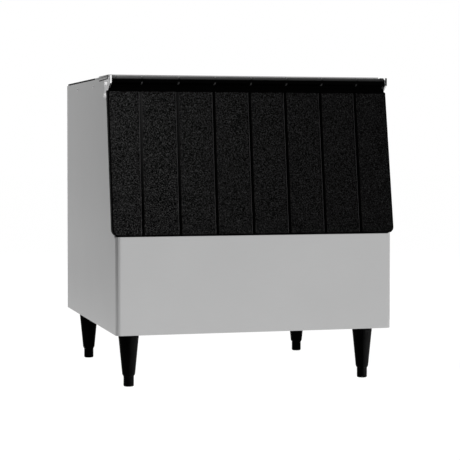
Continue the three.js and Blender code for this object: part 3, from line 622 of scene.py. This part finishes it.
# Door
door = {
    "setback": 1.4 * mm,  # front of the cabinet to the face, at its foot
    "footGap": 1.2 * mm,
    "halfWidth": 390 * mm,
    "depth": 21.6 * mm,
    "wall": 3 * mm,
    "edge": 2.5 * mm,
    "border": 0.8 * mm,  # smooth band round the pebbled panels
    "footRadius": 17 * mm,
    "headRadius": 3 * mm,
    "edgePanel": 90 * mm,
    "panels": 8,
    "grooveMouth": 8.6 * mm,
    "grooveFloor": 5.2 * mm,
    "grooveDepth": 3.0 * mm,
    "grooveRound": 0.8 * mm,
    "grooveShift": 1.4 * mm,  # how far all grooves stand to the left
    "grooveLean": 5.8 * mm,  # how far to the left the middle groove's foot stands of its head
    "grooveFan": 0.006,  # and how much further apart the feet are, as a share
    "backRecess": 5 * mm,
    "neckDrop": 27.2 * mm,
    "neckRecess": 4 * mm,
    "neckRound": 0.5 * mm,
    "flare": 12 * mm,
    "neckCurve": 9 * mm,
}
doorFootY = cabinet["frontY"] + door["setback"] + cabinet["ledgeLift"] * math.tan(cabinet["slope"])
doorFootZ = cabinet["ledgeZ"] + cabinet["ledgeLift"] + door["footGap"]
doorLength = (hingeZ - door["neckDrop"] - doorFootZ) / math.cos(cabinet["slope"])
grooveStep = (2 * door["halfWidth"] - 2 * door["edgePanel"]) / (door["panels"] - 2)
grooves = [(index - (door["panels"] - 2) / 2) * grooveStep for index in range(door["panels"] - 1)]


def slopeY(z, behind=0.0):
    return doorFootY + (z - doorFootZ) * math.tan(cabinet["slope"]) + behind


# From (across, up the slope, forward) to the frame; forward is level
slopePlace = Matrix((
    (1, 0, 0, 0),
    (0, math.sin(cabinet["slope"]), -1, doorFootY),
    (0, math.cos(cabinet["slope"]), 0, doorFootZ),
    (0, 0, 0, 1),
))


def grooveAt(groove, along):
    # Where a groove's middle is at a distance up the slope
    fall = 1 - along / doorLength
    return groove - door["grooveShift"] + fall * (groove * door["grooveFan"] - door["grooveLean"])


def isGroove(face, mouth):
    centre = face.calc_center_median()
    return any(abs(centre.x - grooveAt(groove, centre.y)) < mouth / 2 for groove in grooves)


def faceHeight(face):
    return face.calc_center_median().z


def cutAcross(bm, faces, place, direction):
    geometry = list(faces) + list({edge for face in faces for edge in face.edges})
    geometry += list({corner for face in faces for corner in face.verts})
    bmesh.ops.bisect_plane(bm, geom=geometry, dist=0.001 * mm, plane_co=place, plane_no=direction)


def doorFace():
    # Made lying down, with its foot at y = 0 and its face up
    bm = bmesh.new()
    bmesh.ops.create_grid(bm, x_segments=1, y_segments=1, size=0.5)
    bmesh.ops.scale(bm, vec=(2 * door["halfWidth"], doorLength, 1), verts=bm.verts)
    bmesh.ops.translate(bm, vec=(0, doorLength / 2, 0), verts=bm.verts)
    foot = [corner for corner in bm.verts if corner.co.y < doorLength / 2]
    rounded(bm, foot, door["footRadius"], 12, affect="VERTICES")
    head = [corner for corner in bm.verts if corner.co.y > doorLength - mm]
    rounded(bm, head, door["headRadius"], 4, affect="VERTICES")
    moved = bmesh.ops.extrude_face_region(bm, geom=bm.faces[:], use_keep_orig=True)["geom"]
    bmesh.ops.translate(bm, vec=(0, 0, -door["depth"]), verts=verticesIn(moved))
    bmesh.ops.recalc_face_normals(bm, faces=bm.faces)
    front = max(bm.faces, key=faceHeight)
    rounded(bm, list(front.edges), door["edge"], 4, clamp=False)
    front = max(bm.faces, key=faceHeight)
    backFace = min(bm.faces, key=faceHeight)
    bmesh.ops.inset_region(bm, faces=[backFace], thickness=door["wall"], use_even_offset=True)
    bmesh.ops.translate(bm, vec=(0, 0, door["backRecess"]), verts=backFace.verts)
    bmesh.ops.inset_region(bm, faces=[front], thickness=door["border"], use_even_offset=True)
    for face in bm.faces:
        face.material_index = 1
    front.material_index = 0
    mouth = door["grooveMouth"] / 2
    for groove in grooves:
        foot, head = grooveAt(groove, 0), grooveAt(groove, doorLength)
        for reach in (-mouth, mouth):
            panels = [face for face in bm.faces if face.material_index == 0]
            cutAcross(bm, panels, (foot + reach, 0, 0), (doorLength, foot - head, 0))
    side = (door["grooveMouth"] - door["grooveFloor"]) / 2
    for strip in [face for face in bm.faces if face.material_index == 0 and isGroove(face, mouth)]:
        strip.material_index = 2
        bmesh.ops.inset_region(bm, faces=[strip], thickness=side, use_even_offset=True)
        bmesh.ops.translate(bm, vec=(0, 0, -door["grooveDepth"]), verts=strip.verts)
    rounded(bm, sharpEdges(bm, square), door["grooveRound"], 3)
    print("door panels:", len([face for face in bm.faces if face.material_index == 0]))
    bmesh.ops.transform(bm, matrix=slopePlace, verts=bm.verts)
    addPiece(bm, "door_face", "door", "pebbled", ["door_shell"],
             more=("smoothMoulding", "grooveMoulding"))


bead = {
    "radius": 10.5 * mm,
    "bore": 7.5 * mm,
    "boreDepth": 32 * mm,
    "rib": 5 * mm,
    "ribProud": 1 * mm,
    "ribMark": 0.3 * mm,  # what stands further out than this has the ribs' finish
    "collar": 10 * mm,
    "collarProud": 1.3 * mm,
    "collarRound": 1 * mm,
    "notch": 1.4 * mm,
    "notchDepth": 1.2 * mm,
    "edge": 0.35 * mm,
}


def doorNeck():
    # The recessed strip over the face, curling forward into the bead
    radius, wall = bead["radius"], door["wall"]
    footZ = hingeZ - door["neckDrop"] - wall
    outer = [(slopeY(z, door["neckRecess"]), z) for z in (footZ, hingeZ - radius)]
    tongue = [(hingeY, hingeZ - radius + wall / 2), (hingeY, hingeZ + radius - wall / 2)]
    inner = [(slopeY(z, door["neckRecess"] + wall), z) for z in (hingeZ + radius - wall, footZ)]
    bm = bmesh.new()
    faceAcross(bm, outer + tongue + inner, 2 * cabinet["halfWidth"])
    flareFoot = hingeZ - door["neckDrop"]
    up = Vector((0, math.sin(cabinet["slope"]), math.cos(cabinet["slope"])))
    flareHead = Vector((0, slopeY(flareFoot), flareFoot)) + up * door["flare"]
    cutAcross(bm, bm.faces[:], flareHead, up)
    # Under the flare's head the strip widens to the door
    for corner in bm.verts:
        below = (flareHead - corner.co).dot(up)
        if below > 0.5 * mm:
            share = min(below / door["flare"], 1.0)
            corner.co.x *= 1 + share * (door["halfWidth"] / cabinet["halfWidth"] - 1)
    bends = [edge for edge in sharpEdges(bm, turned)
             if abs(edge.verts[0].co.x - edge.verts[1].co.x) > cabinet["halfWidth"]
             and edge.verts[0].co.z > flareFoot + door["flare"]
             and edge.verts[0].co.y > hingeY + mm]
    rounded(bm, bends, door["neckCurve"], 8)
    rounded(bm, sharpEdges(bm, square), door["neckRound"])
    addPiece(bm, "door_neck", "door", "smoothMoulding", ["door_shell"])


def beadOutline():
    # Half of the bead's outline from its middle to its end, as (radius, distance along)
    radius, proud, notch = bead["radius"], bead["ribProud"], bead["notch"]
    points = []
    for groove in [groove for groove in grooves if groove >= -mm]:
        start, stop = groove - bead["rib"] / 2, groove + bead["rib"] / 2
        points += [(radius, start), (radius + proud, start + proud), (radius + proud, stop - proud),
                   (radius, stop)]
    points = [point for point in points if point[1] > 0]
    end = cabinet["halfWidth"]
    collar = end - bead["collar"]
    notchFloor = radius - bead["notchDepth"]
    collarTop = radius + bead["collarProud"]
    return points + [
        (radius, collar - 2 * notch),
        (notchFloor, collar - 1.5 * notch),
        (notchFloor, collar - 0.5 * notch),
        (collarTop, collar),
        (collarTop, end - bead["collarRound"]),
        (collarTop - bead["collarRound"], end),
        (bead["bore"], end),
        (bead["bore"], end - bead["boreDepth"]),
        (0.0, end - bead["boreDepth"]),
    ]


def doorBead():
    half = beadOutline()
    mirrored = [(radius, -along) for radius, along in reversed(half)]
    bm = spun(mirrored + half)
    rounded(bm, sharpEdges(bm, turned), bead["edge"])
    for face in bm.faces:
        centre = face.calc_center_median()
        isProud = centre.xy.length > bead["radius"] + bead["ribMark"]
        face.material_index = int(isProud and abs(centre.z) < grooves[-1] + bead["rib"])
    layAlongX(bm, 1, (0, hingeY, hingeZ))
    addPiece(bm, "door_bead", "door", "beadMoulding", ["door_shell"], more=("ribMoulding",))


doorFace()
doorNeck()
doorBead()
print("door modelled")

# Black strip as painted shade, for the dark gap at the joint of the top cover and a side, and up the
# cover's front end
jointShade = {
    "back": -152 * mm,
    "backZ": 820.4 * mm,
    "front": -277.4 * mm,
    "frontZ": 822.2 * mm,
    "head": 831 * mm,
    "width": 2.2 * mm,
    "proud": 0.7 * mm,
    "seated": 0.3 * mm,  # into the sheets it lies on
    "edge": 0.25 * mm,
}


def coverJointShade(hand, side):
    half = jointShade["width"] / 2
    front, back = jointShade["front"], jointShade["back"]
    corners = [(back, jointShade["backZ"] - half), (front - half, jointShade["frontZ"] - half),
               (front - half, jointShade["head"]), (front + half, jointShade["head"]),
               (front + half, jointShade["frontZ"] + half), (back, jointShade["backZ"] + half)]
    bm = bmesh.new()
    faceAcross(bm, corners, jointShade["proud"] + jointShade["seated"])
    middle = cabinet["halfWidth"] + (jointShade["proud"] - jointShade["seated"]) / 2
    bmesh.ops.translate(bm, vec=(side * middle, 0, 0), verts=bm.verts)
    bmesh.ops.recalc_face_normals(bm, faces=bm.faces)
    rounded(bm, sharpEdges(bm, square), jointShade["edge"])
    addPiece(bm, f"{hand}_cover_joint_shade", "cabinet", "rubber", [])


for hand, side in sides.items():
    coverJointShade(hand, side)


# Hinge pins, bushes, screws and rivets
def boxMiddle(node):
    low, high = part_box(node)
    return (low + high) / 2


def reachAcross(node, side):
    # How far out from the cabinet's middle a node starts and ends, on its own side
    low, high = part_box(node)
    return (low.x, high.x) if side > 0 else (-high.x, -low.x)


hinge = {
    "steps": 48,
    "start": cabinet["halfWidth"] - 30 * mm,
    "pin": 4 * mm,
    "pinHead": 6.5 * mm,
    "pinHeadHeight": 1.8 * mm,
    "pinDome": 0.63 * mm,
    "pinCrown": 4.68 * mm,
    "pinEdge": 0.3 * mm,
    "bushOuter": 7.2 * mm,
    "bushInner": 4.3 * mm,
    "bushFlange": 9.5 * mm,
    "bushFlangeHeight": 0.7 * mm,
    "bushEdge": 0.15 * mm,
}
screw = {
    "steps": 48,
    "head": 5 * mm,
    "headHeight": 6.8 * mm,
    "washer": 6.2 * mm,
    "washerHeight": 1.2 * mm,
    "shank": 3 * mm,
    "socket": 2.9 * mm,  # centre to a corner of the hexagon
    "socketRim": 0.4 * mm,
    "socketDepth": 3.2 * mm,
    "edge": 0.35 * mm,
}
rivet = {
    "steps": 32,
    "head": 3.6 * mm,
    "headHeight": 1.5 * mm,
    "shank": 2 * mm,
    "dimple": 1.1 * mm,
    "dimpleDepth": 0.6 * mm,
    "edge": 0.2 * mm,
}


def hingePin(hand, side):
    reach = reachAcross(f"{hand}_hinge_pin", side)[1]
    neck = reach - hinge["pinHeadHeight"]
    bm = spun([(0, hinge["start"]), (hinge["pin"], hinge["start"]), (hinge["pin"], neck),
               (hinge["pinHead"], neck), (hinge["pinHead"], reach - hinge["pinDome"]),
               (hinge["pinCrown"], reach), (0, reach)], hinge["steps"])
    rounded(bm, sharpEdges(bm, turned), hinge["pinEdge"])
    layAlongX(bm, side, (0, hingeY, hingeZ))
    addPiece(bm, f"{hand}_hinge_pin_turned", "cabinet", "brightSteel", [f"{hand}_hinge_pin"])


def hingeBush(hand, side):
    reach = reachAcross(f"{hand}_hinge_bush", side)[1]
    shoulder = reach - hinge["bushFlangeHeight"]
    bm = spun([(hinge["bushInner"], hinge["start"]), (hinge["bushOuter"], hinge["start"]),
               (hinge["bushOuter"], shoulder), (hinge["bushFlange"], shoulder),
               (hinge["bushFlange"], reach), (hinge["bushInner"], reach),
               (hinge["bushInner"], hinge["start"])], hinge["steps"])
    rounded(bm, sharpEdges(bm, square), hinge["bushEdge"], 1)
    layAlongX(bm, side, (0, hingeY, hingeZ))
    addPiece(bm, f"{hand}_hinge_bush_turned", "door", "nylon", [f"{hand}_hinge_bush"])


def capScrew(hand, side, which):
    node = f"{hand}_{which}_screw"
    inner, reach = reachAcross(node, side)
    seat = reach - screw["headHeight"]
    base = seat - screw["washerHeight"]
    bm = spun([(0, inner), (screw["shank"], inner), (screw["shank"], base), (screw["washer"], base),
               (screw["washer"], seat), (screw["head"], seat), (screw["head"], reach),
               (screw["socket"] + screw["socketRim"], reach)], screw["steps"])
    rim = [edge for edge in bm.edges if edge.is_boundary]
    hexagon = bmesh.ops.create_circle(bm, segments=6, radius=screw["socket"])["verts"]
    bmesh.ops.translate(bm, vec=(0, 0, reach), verts=hexagon)
    mouth = list({edge for corner in hexagon for edge in corner.link_edges})
    bmesh.ops.bridge_loops(bm, edges=rim + mouth)
    sunk = bmesh.ops.extrude_edge_only(bm, edges=mouth)["geom"]
    bmesh.ops.translate(bm, vec=(0, 0, -screw["socketDepth"]), verts=verticesIn(sunk))
    bottom = [item for item in sunk if isinstance(item, bmesh.types.BMEdge)]
    bmesh.ops.contextual_create(bm, geom=bottom)
    bmesh.ops.recalc_face_normals(bm, faces=bm.faces)
    rounded(bm, levelEdges(bm, 50), screw["edge"])
    middle = boxMiddle(node)
    layAlongX(bm, side, (0, middle.y, middle.z))
    addPiece(bm, node + "_turned", "cabinet", "zincPlate", [node])


def domedRivet(hand, side, which):
    node = f"{hand}_{which}_rivet"
    inner, reach = reachAcross(node, side)
    base = reach - rivet["headHeight"]
    bm = spun([(0, inner), (rivet["shank"], inner), (rivet["shank"], base), (rivet["head"], base),
               (0.9 * rivet["head"], base + 0.5 * rivet["headHeight"]), (0.5 * rivet["head"], reach),
               (rivet["dimple"], reach), (0.8 * rivet["dimple"], reach - rivet["dimpleDepth"]),
               (0, reach - rivet["dimpleDepth"])], rivet["steps"])
    rounded(bm, sharpEdges(bm, 20), rivet["edge"])
    middle = boxMiddle(node)
    layAlongX(bm, side, (0, middle.y, middle.z))
    addPiece(bm, node + "_formed", "cabinet", "brightSteel", [node])


for hand, side in sides.items():
    hingePin(hand, side)
    hingeBush(hand, side)
    for which in ("upper", "lower"):
        capScrew(hand, side, which)
    for which in ("rear", "middle"):
        domedRivet(hand, side, which)
print("hinges and fasteners modelled")

# Legs
thread = {
    "pitch": 1.75 * mm,
    "depth": 0.5 * mm,
    "start": 0.5 * mm,  # over the shoulder that the stud or stem stands on
}
leg = {
    "steps": 72,
    "top": 27.2 * mm,
    "bottom": 17.3 * mm,
    "collar": 16 * mm,
    "collarStep": 0.4 * mm,  # faint line under the straight collar
    "toe": 4.8 * mm,
    "toeStep": 2.4 * mm,
    "edge": 0.45 * mm,
    "bore": 6.4 * mm,
    "boreDepth": 60 * mm,
    "stud": 6 * mm,
    "studLength": 18 * mm,
    "studTip": 1 * mm,
    "foot": 14 * mm,
    "footHeight": 28 * mm,
    "footRound": 3.5 * mm,
    "footChamfer": 1 * mm,
    "stem": 6 * mm,
    "stemTip": 1.5 * mm,
}


def threaded(radius, start, stop):
    # The outline of a screw thread, as rings, going up from start to stop
    points = []
    turns = int((stop - start) / thread["pitch"])
    pitch = (stop - start) / turns
    for turn in range(turns):
        height = start + turn * pitch
        points += [(radius - thread["depth"], height), (radius, height + pitch / 2)]
    return points + [(radius - thread["depth"], stop)]


def legSleeve(name):
    node = f"{name}_leg_sleeve"
    low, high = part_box(node)
    head = high.z - leg["studLength"]
    slopeStart = head - leg["collar"]
    boreEnd = low.z + leg["boreDepth"]
    outline = [(0, boreEnd), (leg["bore"], boreEnd), (leg["bore"], low.z),
               (leg["bottom"] - leg["toeStep"], low.z), (leg["bottom"], low.z + leg["toe"]),
               (leg["top"] - leg["collarStep"], slopeStart),
               (leg["top"], slopeStart + leg["collarStep"]), (leg["top"], head), (leg["stud"], head)]
    outline += threaded(leg["stud"], head + thread["start"], high.z - leg["studTip"]) + [(0, high.z)]
    bm = spun(outline, leg["steps"])
    rings = [edge for edge in levelEdges(bm, 18) if edge.verts[0].co.z < head + close
             and edge.verts[0].co.xy.length > leg["stud"] + 2 * mm]
    rounded(bm, rings, leg["edge"], 3)
    middle = boxMiddle(node)
    bmesh.ops.translate(bm, vec=(middle.x, middle.y, 0), verts=bm.verts)
    addPiece(bm, node + "_moulded", "cabinet", "blackPlastic", [node], smoothUnder=30)


def adjustableFoot(name):
    node = f"{name}_foot"
    low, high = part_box(node)
    shoulder = low.z + leg["footHeight"]
    outline = [(0, low.z), (leg["foot"], low.z), (leg["foot"], shoulder - leg["footChamfer"]),
               (leg["foot"] - leg["footChamfer"], shoulder), (leg["stem"], shoulder)]
    outline += threaded(leg["stem"], shoulder + thread["start"], high.z - leg["stemTip"])
    bm = spun(outline + [(0, high.z)])
    floorRing = [edge for edge in levelEdges(bm, 60) if abs(edge.verts[0].co.z - low.z) < close
                 and edge.verts[0].co.xy.length > leg["stem"]]
    rounded(bm, floorRing, leg["footRound"], 6)
    middle = boxMiddle(node)
    bmesh.ops.translate(bm, vec=(middle.x, middle.y, 0), verts=bm.verts)
    addPiece(bm, node + "_moulded", node, "blackPlastic", [node], smoothUnder=30)


for name in legNames:
    legSleeve(name)
    adjustableFoot(name)
print("legs modelled")

# Drain
drain = {
    "bore": 9.5 * mm,
    "mouth": 2 * mm,  # how much wider the bore opens in the sump
    "tube": 13 * mm,
    "chamfer": 1 * mm,
    "plain": 9 * mm,  # unthreaded length under the flange
    "flange": 24 * mm,
    "flangeHeight": 3 * mm,
    "nut": 21 * mm,
    "nutPlay": 0.3 * mm,
    "nutEdge": 0.6 * mm,
}


def drainFitting():
    low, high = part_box("drain_fitting")
    bore, tube, chamfer = drain["bore"], drain["tube"], drain["chamfer"]
    seat = high.z - drain["flangeHeight"]
    shoulder = seat - drain["plain"]
    outline = [(bore, high.z), (bore, low.z), (tube - chamfer, low.z)]
    outline += threaded(tube, low.z + chamfer, shoulder - mm)
    outline += [(tube, shoulder), (tube, seat), (drain["flange"], seat),
                (drain["flange"], high.z - chamfer), (bore + drain["mouth"], high.z), (bore, high.z)]
    bm = spun(outline)
    middle = boxMiddle("drain_fitting")
    bmesh.ops.translate(bm, vec=(middle.x, middle.y, 0), verts=bm.verts)
    addPiece(bm, "drain_fitting_moulded", "cabinet", "blackPlastic", ["drain_fitting"], smoothUnder=30)


def drainLocknut():
    low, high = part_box("drain_locknut")
    middle = boxMiddle("drain_locknut")
    bm = bmesh.new()
    across = bmesh.ops.create_circle(bm, segments=6, radius=drain["nut"])["verts"]
    bore = bmesh.ops.create_circle(bm, segments=48, radius=drain["tube"] + drain["nutPlay"])["verts"]
    loops = list({edge for corner in across + bore for edge in corner.link_edges})
    ring = bmesh.ops.bridge_loops(bm, edges=loops)["faces"]
    moved = bmesh.ops.extrude_face_region(bm, geom=ring, use_keep_orig=True)["geom"]
    bmesh.ops.translate(bm, vec=(0, 0, high.z - low.z), verts=verticesIn(moved))
    bmesh.ops.recalc_face_normals(bm, faces=bm.faces)
    rounded(bm, sharpEdges(bm, square), drain["nutEdge"])
    turn = Matrix.Rotation(math.radians(90 if high.x - low.x < high.y - low.y else 0), 4, "Z")
    place = Matrix.Translation((middle.x, middle.y, low.z))
    bmesh.ops.transform(bm, matrix=place @ turn, verts=bm.verts)
    addPiece(bm, "drain_locknut_moulded", "cabinet", "blackPlastic", ["drain_locknut"])


drainFitting()
drainLocknut()
print("drain modelled")


# What stays as the frame has it: the foam inside the walls, and the nut plates in the base
def dressNode(node, finish):
    slots = frame["nodes"][node].data.materials
    slots.clear()
    slots.append(finishes[finish].material)


dressNode("insulation_foam", "foam")
for name in legNames:
    dressNode(f"{name}_nut_plate", "galvanised")

# Floor, light and camera
studio = {
    "floorSize": (60.0, 60.0),
    "floorColour": (0.8, 0.8, 0.8),
    "floorGlow": 0.985,
    "floorShade": (0.09, 0.09, 0.09),
    "ambient": 0.14,
}


def shownBySight(tree, unseen, seen, output):
    # One shader lights the object, and camera, glossy and transmission rays see the other
    path = addNode(tree, "ShaderNodeLightPath")
    either = mathNode(tree, "MAXIMUM", path.outputs["Is Camera Ray"], path.outputs["Is Glossy Ray"])
    sight = mathNode(tree, "MAXIMUM", either, path.outputs["Is Transmission Ray"])
    choice = addNode(tree, "ShaderNodeMixShader")
    for socket, value in zip(choice.inputs, (sight, unseen.outputs[0], seen.outputs[0])):
        join(tree, value, socket)
    join(tree, choice.outputs[0], addNode(tree, output).inputs[0])


def flatCard(name, surface, size, place=Matrix()):
    # A flat card with an empty material
    bm = bmesh.new()
    bmesh.ops.create_grid(bm, x_segments=1, y_segments=1, size=0.5)
    bmesh.ops.scale(bm, vec=(*size, 1), verts=bm.verts)
    bmesh.ops.transform(bm, matrix=place, verts=bm.verts)
    mesh = bpy.data.meshes.new(name)
    bm.to_mesh(mesh)
    bm.free()
    material = bpy.data.materials.new(surface)
    material.use_nodes = True
    material.node_tree.nodes.clear()
    mesh.materials.append(material)
    card = bpy.data.objects.new(name, mesh)
    bpy.context.scene.collection.objects.link(card)
    return card, material.node_tree


def buildFloor():
    floor, tree = flatCard("floor", "paleFloor", studio["floorSize"])
    plain = feed(tree, addNode(tree, "ShaderNodeBsdfDiffuse"), Color=(*studio["floorColour"], 1.0))
    shade = feed(tree, addNode(tree, "ShaderNodeBsdfDiffuse"), Color=(*studio["floorShade"], 1.0))
    glow = feed(tree, addNode(tree, "ShaderNodeEmission"), Strength=studio["floorGlow"])
    shown = addNode(tree, "ShaderNodeAddShader")
    join(tree, shade.outputs[0], shown.inputs[0])
    join(tree, glow.outputs[0], shown.inputs[1])
    shownBySight(tree, plain, shown, "ShaderNodeOutputMaterial")


def buildWorld():
    world = bpy.data.worlds.new("whiteStudio")
    world.use_nodes = True
    bpy.context.scene.world = world
    tree = world.node_tree
    tree.nodes.clear()
    white = (1, 1, 1, 1)
    ambient = addNode(tree, "ShaderNodeBackground")
    feed(tree, ambient, Color=white, Strength=studio["ambient"])
    backdrop = addNode(tree, "ShaderNodeBackground")
    feed(tree, backdrop, Color=white, Strength=1.0)
    shownBySight(tree, ambient, backdrop, "ShaderNodeOutputWorld")


def addLamp(name, place, target, size, power, spread=180):
    # Reflections see the studio and the cards, not the lamps
    light = bpy.data.lights.new(name, "AREA")
    light.shape = "RECTANGLE"
    light.size, light.size_y = size
    light.energy = power
    light.spread = math.radians(spread)
    lamp = bpy.data.objects.new(name, light)
    lamp.location = place
    lamp.rotation_euler = (Vector(target) - Vector(place)).to_track_quat("-Z", "Y").to_euler()
    lamp.visible_glossy = False
    bpy.context.scene.collection.objects.link(lamp)


def addFlag(name, place, target, size, tone):
    # A card of a grey tone that only reflections see
    turn = (Vector(target) - Vector(place)).to_track_quat("Z", "Y").to_matrix().to_4x4()
    flag, tree = flatCard(name, name, size, Matrix.Translation(place) @ turn)
    even = feed(tree, addNode(tree, "ShaderNodeEmission"), Strength=tone)
    join(tree, even.outputs[0], addNode(tree, "ShaderNodeOutputMaterial").inputs[0])
    for ray in ("visible_camera", "visible_diffuse", "visible_shadow", "visible_transmission"):
        setattr(flag, ray, False)


lamps = {
    "doorKey": {"place": (-0.95, -1.05, 1.05), "target": (-0.3, -0.35, 0.65),
                "size": (0.4, 0.4), "power": 22},
    "fill": {"place": (-2.6, -1.2, 3.4), "target": (0, 0, 0.5),
             "size": (3.0, 3.0), "power": 6},
    "back": {"place": (0.5, 3.6, 2.6), "target": (0, 0, 0.5),
             "size": (3.0, 2.0), "power": 50},
    "overhead": {"place": (0, 0.1, 2.6), "target": (0, -0.1, 0.8),
                 "size": (2.0, 1.0), "power": 13},
    "legKey": {"place": (1.7, -0.75, 0.06), "target": (0, -0.3, 0.05),
               "size": (0.3, 0.2), "power": 10, "spread": 18},
}
flags = {
    "leftFlag": {"place": (-2.2, 2.5, 1.55), "target": (0, 2.5, 1.55),
                 "size": (7.55, 3.06), "tone": 0.15},
    "matFlag": {"place": (-1.6, 1.6, 0.004), "target": (-1.6, 1.6, 1),
                "size": (2.0, 6.5), "tone": 0.76},
    "nearFlag": {"place": (-1.95, -2.4, 1.55), "target": (-0.4, -0.4, 1.55),
                 "size": (1.6, 3.06), "tone": 0.54},
}
lens = {
    "place": (-1.1815, -4.5293, 0.6457),
    "yaw": math.radians(14.986),
    "pitch": math.radians(1.494),
    "rise": -0.0937,  # the view is tilted down and shifted down as well
    "length": 126.359,
    "sensor": 36.0,
    "reach": 200.0,
}


def buildCamera():
    data = bpy.data.cameras.new("photoCamera")
    data.lens = lens["length"]
    data.sensor_width = lens["sensor"]
    data.shift_y = lens["rise"]
    data.clip_end = lens["reach"]
    camera = bpy.data.objects.new("photoCamera", data)
    camera.location = lens["place"]
    camera.rotation_euler = (math.pi / 2 - lens["pitch"], 0, -lens["yaw"])
    bpy.context.scene.collection.objects.link(camera)
    bpy.context.scene.camera = camera


buildFloor()
buildWorld()
for name, lamp in lamps.items():
    addLamp(name, **lamp)
for name, flag in flags.items():
    addFlag(name, **flag)
buildCamera()
bpy.context.scene.view_settings.view_transform = "Standard"
print("studio built")
